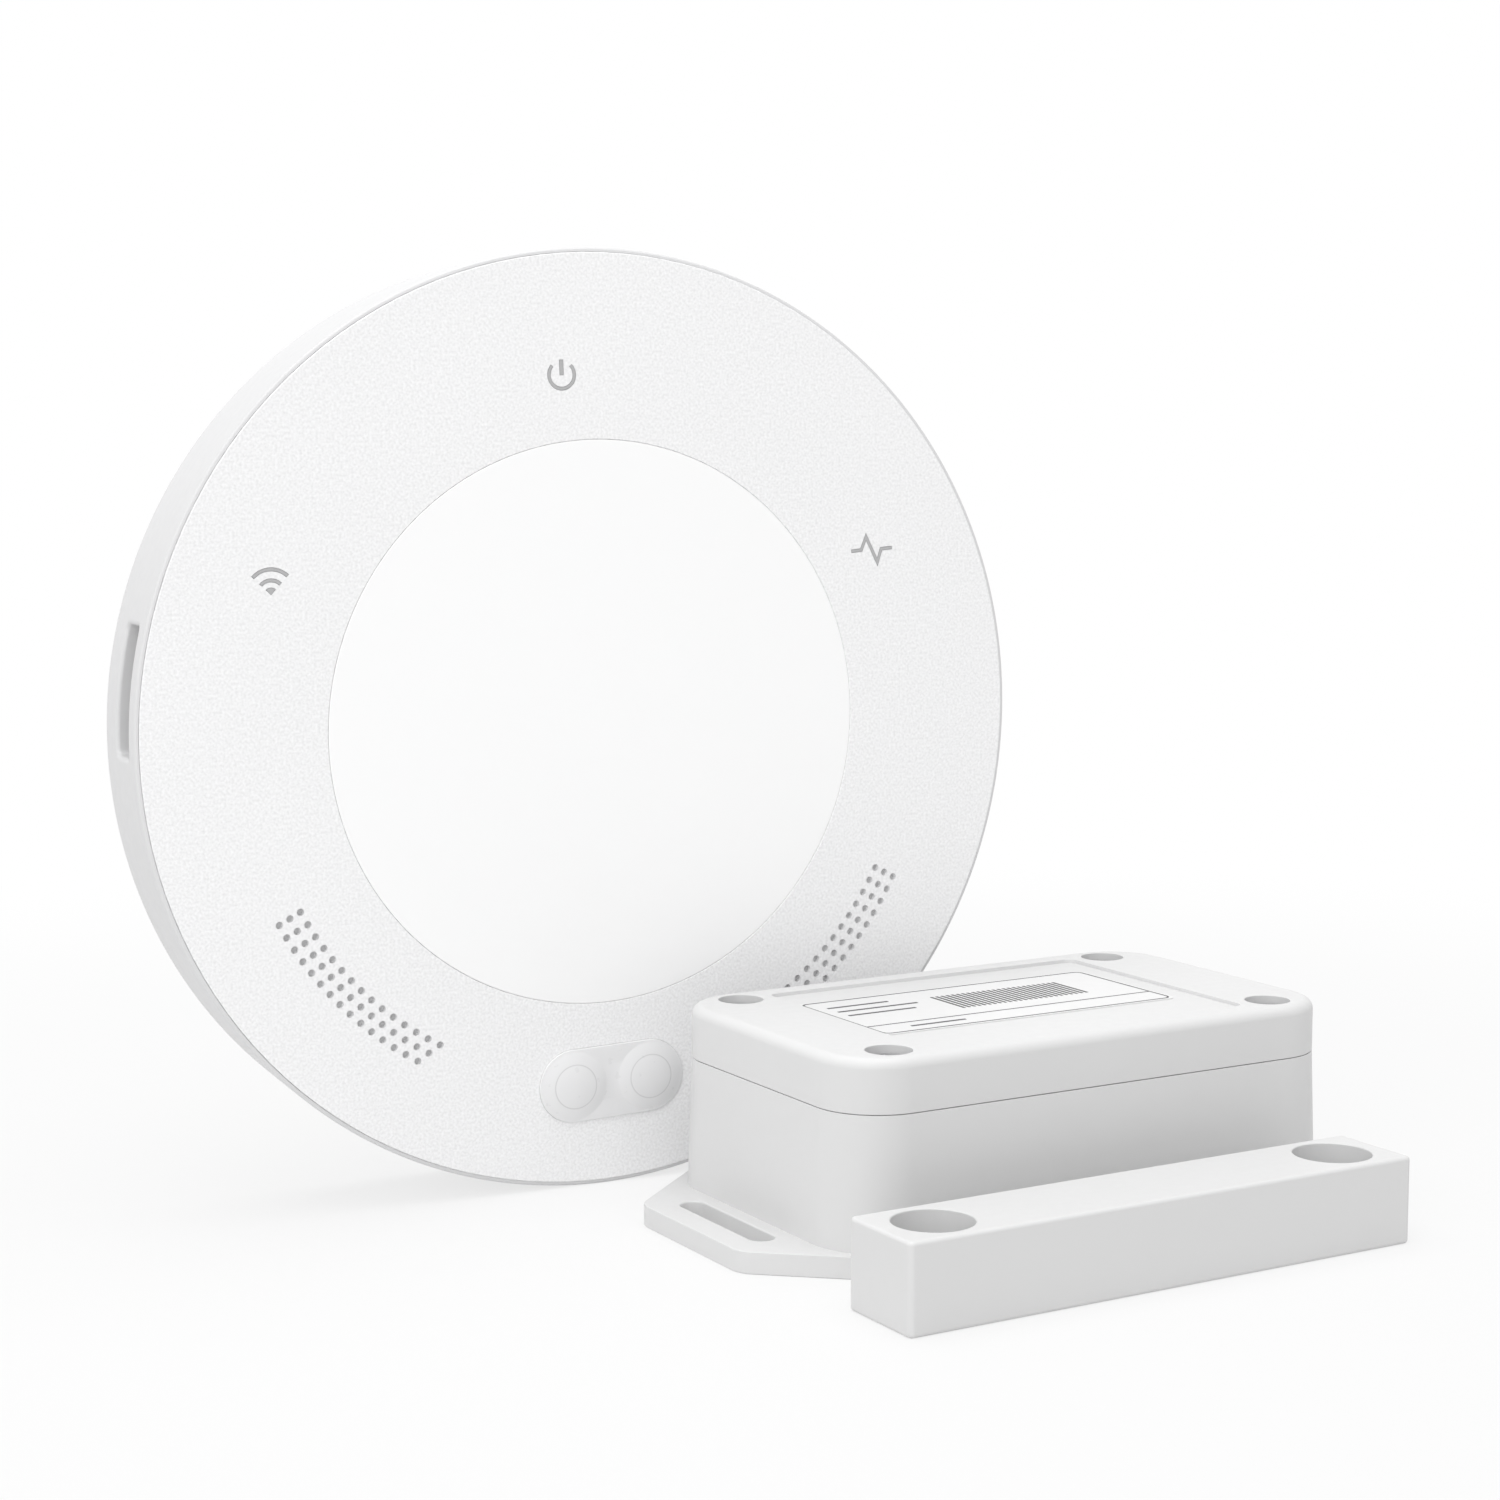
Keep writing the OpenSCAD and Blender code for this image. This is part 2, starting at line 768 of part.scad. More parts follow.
module radio_antenna() {
    r_out = rim_in - thread_gap;
    color("black") hub_place() rotate(antenna_from) rotate_extrude(angle = antenna_turn)
        translate([r_out - antenna_t, -port_d - antenna_w / 2]) square([antenna_t, antenna_w]);
}

module door_relays() {
    color("royalblue") hub_place() slab(d_board - relay_size.z, d_board)
        at_each(relay_at) square([relay_size.x, relay_size.y], center = true);
}

module supply_capacitors() {
    color("dimgray") hub_place() slab(d_board - can_h, d_board) at_each(can_at) circle(can_r);
}

module side_socket() {
    color("gainsboro") hub_place() translate([-socket_front, port_rise, 0]) difference() {
        slab(d_board - socket_h, d_board)
            translate([0, -socket_half]) square([socket_l, 2 * socket_half]);
        slab(port_d - cavity_w / 2, port_d + cavity_w / 2)
            translate([-over, -cavity_l / 2]) square([socket_deep + over, cavity_l]);
    }
}

module socket_pins() {
    step = cavity_l / pin_count;
    color("gold") hub_place() translate([-socket_front + socket_deep - pin_l, port_rise, 0])
        slab(port_d - pin_w / 2, port_d + pin_w / 2)
            for (i = [0 : pin_count - 1])
                translate([0, (i - (pin_count - 1) / 2) * step - pin_w / 2]) square([pin_l, pin_w]);
}

module reset_switch() {
    color("dimgray") hub_place() slab(d_back, d_back + reset_switch_h)
        translate(reset_at) square(switch_side, center = true);
}

module reset_button() {
    color("gray") hub_place() translate(reset_at) {
        slab(d_cover - thread_gap - reset_flange_t, d_cover - thread_gap) circle(reset_r + reset_flange);
        slab(d_cover - thread_gap - root, hub_depth - reset_sunk) circle(reset_r);
    }
}

module rear_cover() {
    color("whitesmoke") hub_place() difference() {
        slab(d_cover, hub_depth) circle(rim_in - fit_gap);
        slab(d_cover - over, hub_depth + over) {
            key_shape();
            translate(reset_at) circle(reset_r + fit_gap);
            ring_of(cover_boss_at, cover_boss_angles) circle(cover_screw_r + slip);
        }
        slab(hub_depth - cover_head_h, hub_depth + over)
            ring_of(cover_boss_at, cover_boss_angles) circle(cover_head_r + slip);
    }
}

module cover_screws() {
    color("silver") hub_place() {
        slab(hub_depth - cover_head_h, hub_depth)
            ring_of(cover_boss_at, cover_boss_angles) circle(cover_head_r);
        slab(hub_depth - cover_head_h - cover_screw_l, hub_depth - cover_head_h + root)
            ring_of(cover_boss_at, cover_boss_angles) circle(cover_screw_r);
    }
}

module screw_corners() {
    for (x = [-1, 1], y = [-1, 1]) translate([x * screw_dx / 2, y * screw_dy / 2]) children();
}

module flange_shape() {
    side = [flange_root, flange_side];
    tip = [flange_l / 2, flange_end_w / 2];
    quarter = concat([side], round_arc(side, tip, [tip.x, -tip.y], flange_round));
    half = concat(quarter, [for (i = [len(quarter) - 1 : -1 : 0]) [quarter[i].x, -quarter[i].y]]);
    polygon(concat(half, [for (i = [len(half) - 1 : -1 : 0]) [-half[i].x, half[i].y]]));
}

module seal_path(grow) {
    mid = box_wall / 2;
    half = seal_w / 2 + grow;
    difference() {
        rounded(box_l - 2 * (mid - half), box_w - 2 * (mid - half), box_corner - mid + half);
        rounded(box_l - 2 * (mid + half), box_w - 2 * (mid + half), box_corner - mid - half);
    }
}

module base_body() {
    hull() {
        lift(0, slice)
            rounded(box_l + 2 * box_draft, box_w + 2 * box_draft, box_corner + box_draft, $fn = hull_fn);
        lift(base_h - slice, base_h) rounded(box_l, box_w, box_corner, $fn = hull_fn);
    }
}

module sensor_base() {
    color("gainsboro") sensor_place() difference() {
        union() {
            difference() {
                union() {
                    base_body();
                    lift(0, flange_t) flange_shape();
                }
                lift(floor_t, base_h + over) rounded(inner_l, inner_w, inner_corner);
            }
            lift(floor_t - root, base_h) screw_corners() circle(base_boss_r);
            lift(floor_t - root, z_card) at_each(card_post_at) circle(card_post_r);
        }
        lift(z_seat - lid_screw_l - slip, base_h + over) screw_corners() circle(lid_screw_r + thread_gap);
        lift(z_card - card_screw_l + card_t - slip, z_card + over)
            at_each(card_post_at) circle(card_screw_r + thread_gap);
        lift(base_h - seal_deep, base_h + over) seal_path(fit_gap);
        lift(-over, flange_t + over)
            for (x = [-1, 1]) translate([x * slot_at, 0]) rotate(90) stadium(slot_l, slot_w);
    }
}

// Half of the lid's cross-section, out to a side at the given distance
function lid_edge(side) = concat([[0, 0], [side, 0]],
    arc([side - lid_round, z_top - z_lid - lid_round], lid_round, 0, 90), [[0, z_top - z_lid]]);

// A straight stretch of the lid along Y, rounded on both sides
module lid_run(half, l) {
    rotate([90, 0, 0]) linear_extrude(l, center = true) {
        polygon(lid_edge(half));
        mirror([1, 0]) polygon(lid_edge(half));
    }
}

module lid_body() {
    corner = [box_l / 2 - box_corner, box_w / 2 - box_corner];
    translate([0, 0, z_lid]) {
        lid_run(box_l / 2, 2 * corner.y);
        rotate(90) lid_run(box_w / 2, 2 * corner.x);
        for (turn = [0 : 90 : 270]) {
            way = [cos(turn) - sin(turn), cos(turn) + sin(turn)];
            translate([way.x * corner.x, way.y * corner.y, 0]) rotate(turn)
                rotate_extrude(angle = 90) polygon(lid_edge(box_corner));
        }
    }
}

module sensor_lid() {
    color("white") sensor_place() difference() {
        union() {
            difference() {
                lid_body();
                lift(z_lid - over, z_top - lid_t) rounded(inner_l, inner_w, inner_corner);
            }
            lift(z_lid, z_top - lid_t + root) screw_corners() circle(lid_boss_r);
            lift(base_h, z_lid + root) screw_corners() circle(lid_pad_r);
        }
        lift(z_seat, z_top + over) screw_corners() circle(well_r);
        lift(base_h - over, z_seat + over) screw_corners() circle(lid_screw_r + slip);
        lift(z_top - panel_deep, z_top + over) rounded(panel_l, panel_w, panel_round);
    }
}

module lid_screws() {
    color("silver") sensor_place() {
        lift(z_seat, z_seat + lid_head_h) screw_corners() circle(lid_head_r);
        lift(z_seat - lid_screw_l, z_seat + root) screw_corners() circle(lid_screw_r);
    }
}

module lid_seal() {
    color("dimgray") sensor_place() lift(base_h - seal_deep, z_lid) seal_path(0);
}

module lid_label() {
    color("white") sensor_place() lift(z_top - panel_deep, z_top - panel_deep + label_t)
        translate(label_at) rounded(label_l, label_w, label_round);
}

module sensor_board() {
    color("seagreen") sensor_place() lift(z_card, z_card_top) difference() {
        translate([0, card_y]) square([card_l, card_w], center = true);
        at_each(card_post_at) circle(card_screw_r + slip);
    }
}

module sensor_board_screws() {
    color("silver") sensor_place() {
        lift(z_card_top, z_card_top + card_head_h) at_each(card_post_at) circle(card_head_r);
        lift(z_card_top - card_screw_l, z_card_top + root) at_each(card_post_at) circle(card_screw_r);
    }
}

module on_card(size, at) {
    translate([at.x - size.x / 2, at.y - size.y / 2, z_card_top]) cube(size);
}

module sensor_radio() {
    color("silver") sensor_place() on_card(sensor_radio_size, sensor_radio_at);
}

module sensor_light() {
    color("ivory") sensor_place() on_card(sensor_light_size, sensor_light_at);
}

module reed_switch() {
    color("lightblue") sensor_place() translate([0, reed_y, z_card_top]) {
        translate([0, 0, reed_up]) rotate([0, 90, 0]) {
            cylinder(h = reed_l, r = reed_r, center = true);
            cylinder(h = 2 * reed_reach, r = reed_lead_r, center = true);
        }
        for (x = [-1, 1])
            translate([x * (reed_reach - reed_lead_r), 0, 0]) cylinder(h = reed_up, r = reed_lead_r);
    }
}

module pair_switch() {
    color("dimgray") sensor_place() difference() {
        on_card([switch_side, switch_side, pair_body_h], pair_at);
        translate([pair_at.x, pair_at.y, z_card_top + pair_body_h - pair_deep])
            cylinder(h = pair_deep + over, r = pair_r + fit_gap);
    }
}

module pair_button() {
    foot = z_card_top + pair_body_h - pair_deep + pair_travel + fit_gap;
    color("gray") sensor_place() translate([pair_at.x, pair_at.y, foot])
        cylinder(h = z_card_top + pair_body_h + pair_up - foot, r = pair_r);
}

module battery_holder() {
    color("black") sensor_place() translate([0, tray_y, 0]) difference() {
        lift(floor_t, floor_t + tray_h) square([tray_l, tray_w], center = true);
        lift(floor_t + tray_t, floor_t + tray_h + over) square([tray_in_l, tray_in_w], center = true);
    }
}

module battery_contacts() {
    color("silver") sensor_place() translate([0, tray_y, floor_t + tray_t])
        for (x = [-1, 1], y = [-1, 1])
            translate([x * (cell_l + contact_t + 2 * thread_gap) / 2, y * cell_step / 2, contact_h / 2])
                cube([contact_t, contact_w, contact_h], center = true);
}

module battery_cells() {
    color("goldenrod") sensor_place()
        for (y = [-1, 1]) translate([0, tray_y + y * cell_step / 2, floor_t + tray_t + cell_d / 2])
            rotate([0, 90, 0]) cylinder(h = cell_l, r = cell_d / 2, center = true);
}

module fixing_holes() {
    for (x = [-1, 1]) translate([x * magnet_pitch / 2, 0]) children();
}

module magnet_body() {
    e = magnet_round;
    hull() for (x = [-1, 1], y = [-1, 1], z = [e, magnet_h - e])
        translate([x * (magnet_l / 2 - e), y * (magnet_w / 2 - e), z]) sphere(e, $fn = hull_fn);
}

module magnet_case() {
    color("whitesmoke") magnet_place() difference() {
        magnet_body();
        lift(sink_web, magnet_h + over) fixing_holes() circle(sink_r);
        lift(-over, sink_web + over) fixing_holes() circle(fix_r);
        lift(-over, cover_plate_t + fit_gap)
            square([bar_l + 2 * cover_ledge, bar_w + 2 * cover_ledge], center = true);
        lift(cover_plate_t, cover_plate_t + fit_gap + bar_h + bar_room)
            square([bar_l + 2 * bar_room, bar_w + 2 * bar_room], center = true);
    }
}

module bar_magnet() {
    color("dimgray") magnet_place() lift(cover_plate_t + fit_gap, cover_plate_t + fit_gap + bar_h)
        square([bar_l, bar_w], center = true);
}

module magnet_cover() {
    color("gainsboro") magnet_place() lift(fit_gap, cover_plate_t + fit_gap)
        square([bar_l + 2 * (cover_ledge - fit_gap), bar_w + 2 * (cover_ledge - fit_gap)], center = true);
}

rim_housing();
face_ring();
center_cap();
power_mark();
radio_mark();
activity_mark();
warning_lens();
warning_lights();
left_grille_cloth();
right_grille_cloth();
left_speaker();
right_speaker();
main_board();
board_screws();
status_lights();
radio_module();
radio_antenna();
door_relays();
supply_capacitors();
side_socket();
socket_pins();
reset_switch();
reset_button();
rear_cover();
cover_screws();
sensor_base();
sensor_lid();
lid_screws();
lid_seal();
lid_label();
sensor_board();
sensor_board_screws();
sensor_radio();
sensor_light();
reed_switch();
pair_switch();
pair_button();
battery_holder();
battery_contacts();
battery_cells();
magnet_case();
bar_magnet();
magnet_cover();
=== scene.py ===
"""Looks of a garage door controller: a round hub, a flanged door sensor and the magnet bar of the door."""

import json
import math

import bmesh
import bpy
import numpy as np
from bpy.props import FloatProperty, FloatVectorProperty, PointerProperty
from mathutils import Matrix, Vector
from mathutils.geometry import delaunay_2d_cdt


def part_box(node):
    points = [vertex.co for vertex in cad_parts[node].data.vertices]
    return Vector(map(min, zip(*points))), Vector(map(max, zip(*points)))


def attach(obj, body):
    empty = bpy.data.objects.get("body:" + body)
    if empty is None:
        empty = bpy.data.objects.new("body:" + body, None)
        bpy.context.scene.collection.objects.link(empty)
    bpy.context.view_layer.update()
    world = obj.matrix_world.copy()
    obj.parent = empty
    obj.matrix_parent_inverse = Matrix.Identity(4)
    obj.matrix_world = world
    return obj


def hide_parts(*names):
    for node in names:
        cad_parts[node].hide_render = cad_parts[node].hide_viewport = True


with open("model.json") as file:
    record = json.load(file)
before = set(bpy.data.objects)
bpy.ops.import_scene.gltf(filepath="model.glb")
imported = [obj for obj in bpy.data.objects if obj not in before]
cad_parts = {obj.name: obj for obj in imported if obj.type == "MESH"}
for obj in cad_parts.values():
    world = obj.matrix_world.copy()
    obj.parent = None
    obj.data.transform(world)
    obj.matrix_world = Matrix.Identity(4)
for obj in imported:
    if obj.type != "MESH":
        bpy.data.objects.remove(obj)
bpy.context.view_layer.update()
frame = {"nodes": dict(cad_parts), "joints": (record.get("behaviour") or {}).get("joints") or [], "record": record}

bl_info = {
    "name": "Garage door controller",
    "version": (1, 0, 0),
    "blender": (4, 5, 0),
    "location": "View3D > Sidebar > Controller",
    "description": "Builds the visible pieces of a garage door controller round its packed model",
    "category": "Object",
}

MM = 0.001
FIT = 0.1 * MM              # Gap round a piece that sits in another
WELD = 4e-7                 # Points of a mesh that are nearer than this become one
CLOSE = 1e-8                # Points of a flat face that are nearer than this become one
SHARP = math.radians(32)    # Edges that bend by more than this stay sharp


def span(node):
    """Size of a node's box along X, Y and Z."""
    lo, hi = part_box(node)
    return hi - lo


def middle(node):
    """Middle of a node's box."""
    lo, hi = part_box(node)
    return (lo + hi) / 2


def foot_of(node):
    """Height of a node's lowest point."""
    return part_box(node)[0].z


def top_of(node):
    """Height of a node's highest point."""
    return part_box(node)[1].z


# Places of the three units, read from the packed model
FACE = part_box("face_ring")[0].y
HUB = Vector((middle("rim_housing").x, FACE, middle("rim_housing").z))
SLIDE = next(j for j in frame["joints"] if j["name"] == "magnet_travel")["axis"]
YAW = math.atan2(SLIDE[0], -SLIDE[1])
SENSOR = Vector((middle("sensor_lid").x, middle("sensor_lid").y, 0))
MAGNET = Vector((middle("magnet_case").x, middle("magnet_case").y, 0))


def depth(node, end=0):
    """Depth of a node's front (0) or back (1) behind the hub's face."""
    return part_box(node)[end].y - FACE


def size(label, text, value):
    """A length that the user can change, in metres."""
    return FloatProperty(name=label, description=text, default=value, unit="LENGTH", precision=5)


def tint(label, text, *value):
    """A colour that the user can change, in linear light."""
    return FloatVectorProperty(name=label, description=text, default=value, subtype="COLOR", size=3,
                               min=0, max=1)


class HubSizes(bpy.types.PropertyGroup):
    """Sizes of the hub's visible pieces."""
    rim_r: size("Rim radius", "Largest radius of the rim", span("rim_housing").x / 2)
    rim_taper: size("Rim taper", "Amount by which the rim narrows towards its back", 0.4 * MM)
    rim_round: size("Rim edge", "Rounding of the rim's front edge", 0.4 * MM)
    back_round: size("Back edge", "Rounding of the rim's back edge", 0.9 * MM)
    lip: size("Rim lip", "Width of the rim round the face ring", 0.56 * MM)
    slot_l: size("Slot length", "Length of the slot in the rim", 16.9 * MM)
    slot_w: size("Slot width", "Width of the slot in the rim", 6.6 * MM)
    slot_edge: size("Slot edge", "Rounding of the slot's edge", 0.6 * MM)
    slot_corner: size("Slot corner", "Rounding of the slot's corners", 0.8 * MM)
    cap_r: size("Cap radius", "Radius of the centre cap", span("center_cap").x / 2 + 0.06 * MM)
    cap_edge: size("Cap edge", "Rounding of the centre cap's edge", 0.12 * MM)
    lens_l: size("Lens length", "Length of the warning lens", 21.12 * MM)
    lens_w: size("Lens width", "Width of the warning lens", 10.02 * MM)
    lens_proud: size("Lens plate", "Height of the lens's plate above the face", 0.3 * MM)
    dome_h: size("Dome height", "Height of the lens's domes above its plate", 0.8 * MM)
    light_r: size("Light radius", "Radius of a warning light", 2.5 * MM)
    roll: FloatProperty(name="Face roll", description="Turn of the lens about the face's normal",
                        default=math.radians(2), unit="ROTATION")


class SensorSizes(bpy.types.PropertyGroup):
    """Sizes of the door sensor's visible pieces."""
    box_l: size("Box length", "Length of the box at its seam", 76.6 * MM)
    box_w: size("Box width", "Width of the box at its seam", 46 * MM)
    box_corner: size("Box corner", "Corner radius of the box at its seam", 8.5 * MM)
    draft: size("Draft", "Spread of each side of the base towards its foot", 0.7 * MM)
    wall: size("Wall", "Wall of the base and the lid", 2.2 * MM)
    lid_round: size("Lid edge", "Rounding of the lid's top edge", 1.4 * MM)
    flange_l: size("Flange length", "Length over both flanges", 96.6 * MM)
    flange_end_w: size("Flange end", "Width of a flange at its end", 25 * MM)
    flange_t: size("Flange thickness", "Thickness of the flange", 2.85 * MM)
    slot_l: size("Slot length", "Length of a flange's slot", 20.6 * MM)
    slot_w: size("Slot width", "Width of a flange's slot", 3.4 * MM)
    well_r: size("Well radius", "Radius of a screw well in the lid", 3 * MM)
    panel_l: size("Panel length", "Length of the label panel", 50.6 * MM)
    panel_w: size("Panel width", "Width of the label panel", 38 * MM)


class MagnetSizes(bpy.types.PropertyGroup):
    """Sizes of the magnet bar."""
    length: size("Length", "Length of the magnet's case", 76 * MM)
    width: size("Width", "Width of the magnet's case", 13 * MM)
    edge: size("Edge", "Rounding of the case's edges", 0.5 * MM)
    pitch: size("Hole spacing", "Distance between the two screw holes", 61 * MM)
    sink_r: size("Hole radius", "Radius of the wide part of a screw hole", 5 * MM)


class FinishColours(bpy.types.PropertyGroup):
    """Colours of the visible finishes."""
    housing: tint("Housing", "Moulded plastic of the hub's rim and cover", 0.71, 0.71, 0.715)
    ring: tint("Face ring", "Satin coat of the face ring", 0.91, 0.91, 0.915)
    cap: tint("Centre cap", "Gloss plastic of the centre cap", 0.98, 0.98, 0.98)
    mark: tint("Marks", "Inlaid marks of the face", 0.46, 0.46, 0.465)
    lens: tint("Lens", "Pale milky plastic of the warning lens", 0.83, 0.83, 0.835)
    sensor: tint("Sensor", "Moulded plastic of the sensor and the magnet", 0.70, 0.70, 0.70)
    label: tint("Label", "Film of the label", 0.76, 0.76, 0.76)
    ink: tint("Ink", "Printed rules of the label", 0.06, 0.06, 0.062)
    cloth: tint("Cloth", "Acoustic cloth behind the sound holes", 0.92, 0.92, 0.925)


class StageSettings(bpy.types.PropertyGroup):
    """Light and view of the studio."""
    ambient: FloatProperty(name="Ambient", description="Even light from all round", default=0.6, min=0,
                           subtype="FACTOR")
    top: FloatProperty(name="Top light", description="Power of the lamp overhead", default=7.5, min=0,
                       unit="POWER")
    side: FloatProperty(name="Side light", description="Power of the lamp at the left", default=2.6, min=0,
                        unit="POWER")
    lens: FloatProperty(name="Focal length", description="Focal length of the camera, in millimetres",
                        default=68.84, unit="CAMERA")


# Outlines: closed loops of points, counted against the clock

def turns(n):
    """Equal steps of a full turn."""
    return np.arange(n) * (2 * np.pi / n)


def ray(turn):
    """Points at a distance of one: the cosine and the sine of each turn."""
    return np.stack([np.cos(turn), np.sin(turn)], axis=-1)


def circle(radius, at=(0, 0), n=96):
    """Points at equal turns on a circle: the centre plus the radius times cosine and sine of the turn."""
    return at + radius * ray(turns(n))


def circles(radius, spots, n):
    """The same circle at several spots."""
    return [circle(radius, at, n) for at in spots]


def rounded(length, width, radius, at=(0, 0), n=14):
    """A rectangle with quarter arcs at its corners: each corner's centre plus the radius times the turn's
    cosine and sine."""
    turn = np.linspace(0, np.pi / 2, n + 1) + np.arange(4)[:, None] * np.pi / 2
    centre = np.array([[1, 1], [-1, 1], [-1, -1], [1, -1]]) * (np.array([length, width]) / 2 - radius)
    return (centre[:, None] + radius * ray(turn)).reshape(-1, 2) + at


def stadium(length, width, at=(0, 0), roll=0.0, n=28):
    """Two half turns of radius width / 2 about the ends of a straight run, rolled about the middle."""
    turn = np.linspace(-np.pi / 2, np.pi / 2, n + 1) + np.array([[0], [np.pi]])
    end = np.array([[[1, 0]], [[-1, 0]]]) * (length - width) / 2
    return rolled((end + width / 2 * ray(turn)).reshape(-1, 2), roll) + at


def rolled(loop, roll):
    """The loop turned about the origin."""
    c, s = math.cos(roll), math.sin(roll)
    return loop @ np.array([[c, s], [-s, c]])


def sector(r_in, r_out, mid, half, n=24):
    """A stretch of a ring: an outer arc and an inner arc run back, between mid - half and mid + half."""
    out = ray(np.linspace(mid - half, mid + half, n))
    return np.concatenate([out * r_out, out[::-1] * r_in])


def polar(radius, degrees):
    """The point at a distance and an angle from the axis."""
    a = math.radians(degrees)
    return radius * math.cos(a), radius * math.sin(a)


def outward(loop):
    """Shift of each point for an offset of one: the sum of the two sides' normals over one plus their
    product, so that both sides move by one."""
    side = np.roll(loop, -1, axis=0) - loop
    side /= np.linalg.norm(side, axis=1, keepdims=True)
    after = np.stack([side[:, 1], -side[:, 0]], axis=1)
    before = np.roll(after, 1, axis=0)
    return (before + after) / (1 + (before * after).sum(axis=1, keepdims=True))


def grow(loop, by):
    """The loop with its sides moved outwards."""
    return loop + by * outward(loop)


def bend(off, height, radius, start, stop, n=5):
    """Points (offset, height) of an arc about a centre, between two angles in degrees."""
    return [off, height] + radius * ray(np.radians(np.linspace(start, stop, n)))


# Surfaces: grids of points in the coordinates of a unit

def surface(x, y, z):
    """Points of a grid from their three coordinates, which may be shared by a row or a column."""
    return np.stack(np.broadcast_arrays(x, y, z), axis=-1)


def wrapped(radius, turn, deep):
    """Points round the hub's axis: the radius times cosine and sine of the turn, at a depth."""
    return surface(radius * np.cos(turn), radius * np.sin(turn), -deep)


def turned(radii, depths, turn):
    """A surface of revolution: each (radius, depth) carried round the axis through the turns."""
    return wrapped(np.asarray(radii, float)[:, None], turn, np.asarray(depths, float)[:, None])


class Shell:
    """Grids and flat faces of one piece, kept as points and faces until they are made one mesh."""

    def __init__(self):
        self.points, self.faces, self.count = [], [], 0

    def grid(self, rows, closed=True):
        """Quads between neighbouring points of rows[i, j]; j joins up with its start when closed."""
        rows = np.asarray(rows, float)
        k, m = rows.shape[:2]
        index = self.count + np.arange(k * m).reshape(k, m)
        if closed:
            index = np.concatenate([index, index[:, :1]], axis=1)
        corners = [index[:-1, :-1], index[:-1, 1:], index[1:, 1:], index[1:, :-1]]
        self._add(rows.reshape(-1, 3), np.stack(corners, axis=-1).reshape(-1, 4))

    def sweep(self, loop, profile):
        """A profile of (offset, height) carried round a loop: each point is the loop's point moved out by
        the offset, at that height."""
        profile = np.asarray(profile, float)
        flat = loop[None] + profile[:, :1, None] * outward(loop)[None]
        self.grid(surface(flat[..., 0], flat[..., 1], profile[:, 1:]))

    def flat(self, height, outer, *holes):
        """The flat face inside an outline and outside its holes, cut into triangles at their points."""
        loops = [outer, *holes]
        ends = np.cumsum([0] + [len(loop) for loop in loops]).tolist()
        rings = [list(range(a, b)) for a, b in zip(ends[:-1], ends[1:])]
        flat = [Vector(p) for p in np.concatenate(loops).tolist()]
        points, _, faces, *_ = delaunay_2d_cdt(flat, [], rings, 2, CLOSE)
        points = np.array(points)
        self._add(np.column_stack([points, np.full(len(points), height)]), np.array(faces) + self.count)

    def wall(self, loop, start, end):
        """A straight wall along a loop between two heights."""
        self.sweep(loop, [(0, start), (0, end)])

    def pit(self, loop, start, end):
        """A straight wall along a loop, closed by a flat face at its end."""
        self.wall(loop, start, end)
        self.flat(end, loop)

    def hole(self, loop, mouth, edge, end):
        """The wall of a hole from its mouth, where its edge is rounded, to its end. Returns the loop where
        the rounding meets the face."""
        way = np.sign(mouth - end)
        self.sweep(loop, np.r_[bend(edge, mouth - way * edge, edge, way * 90, way * 180), [(0, end)]])
        return grow(loop, edge)

    def screw_hole(self, sink, bore, mouth, edge, seat, end):
        """A wide hole with a rounded edge, a seat at its foot and a bore from there to the end. Returns the
        loop where the rounding meets the face."""
        outline = self.hole(sink, mouth, edge, seat)
        self.flat(seat, sink, bore)
        self.wall(bore, seat, end)
        return outline

    def boss(self, at, foot, top, radius, bore, bottom):
        """A screw boss on a wall: its side, its top face and its bore with a floor. Returns its outline."""
        out, hole = circle(radius, at, 40), circle(bore, at, 24)
        self.wall(out, foot, top)
        self.flat(top, out, hole)
        self.pit(hole, top, bottom)
        return out

    def _add(self, points, faces):
        """Keeps points and the faces between them."""
        self.points.append(points)
        self.faces += faces.tolist()
        self.count += len(points)

    def piece(self, name, place, slot, look=None, body="root", replaces=()):
        """The closed mesh of all grids and faces, welded, turned outwards and placed on its unit, in the
        finish of its slot or in another look."""
        mesh = bpy.data.meshes.new(name)
        mesh.from_pydata(place(np.concatenate(self.points)).tolist(), [], self.faces)
        work = bmesh.new()
        work.from_mesh(mesh)
        bmesh.ops.remove_doubles(work, verts=work.verts, dist=WELD)
        bmesh.ops.recalc_face_normals(work, faces=work.faces)
        work.to_mesh(mesh)
        work.free()
        mesh.shade_smooth()
        mesh.set_sharp_from_angle(angle=SHARP)
        mesh.materials.append(finish(look or slot))
        made = bpy.data.objects.new(name, mesh)
        bpy.context.scene.collection.objects.link(made)
        shading = made.modifiers.new("Even shading", "WEIGHTED_NORMAL")
        shading.keep_sharp = True
        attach(made, body)
        if replaces:
            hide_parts(*replaces)


def on_hub(points):
    """Points (x, y on the face, height out of the face) as places of the frame."""
    return np.stack([HUB.x + points[:, 0], HUB.y - points[:, 2], HUB.z + points[:, 1]], axis=1)


def on_unit(origin):
    """Places of the frame for points of a unit that stands at an origin, turned by the yaw."""
    c, s = math.cos(YAW), math.sin(YAW)

    def place(points):
        """Turns the points by the yaw and moves them to the origin."""
        x, y, z = points.T
        return np.stack([origin.x + c * x - s * y, origin.y + s * x + c * y, origin.z + z], axis=1)
    return place


def hub_spot(node):
    """Place of a node's middle on the hub's face."""
    spot = middle(node) - HUB
    return spot.x, spot.z


def lens_ends():
    """Middles of the warning lens's two domes on the hub's face."""
    p = bpy.context.scene.controller_hub
    reach = (p.lens_l - p.lens_w) / 2
    return np.array(hub_spot("warning_lens")) + rolled(np.array([[-reach, 0], [reach, 0]]), p.roll)


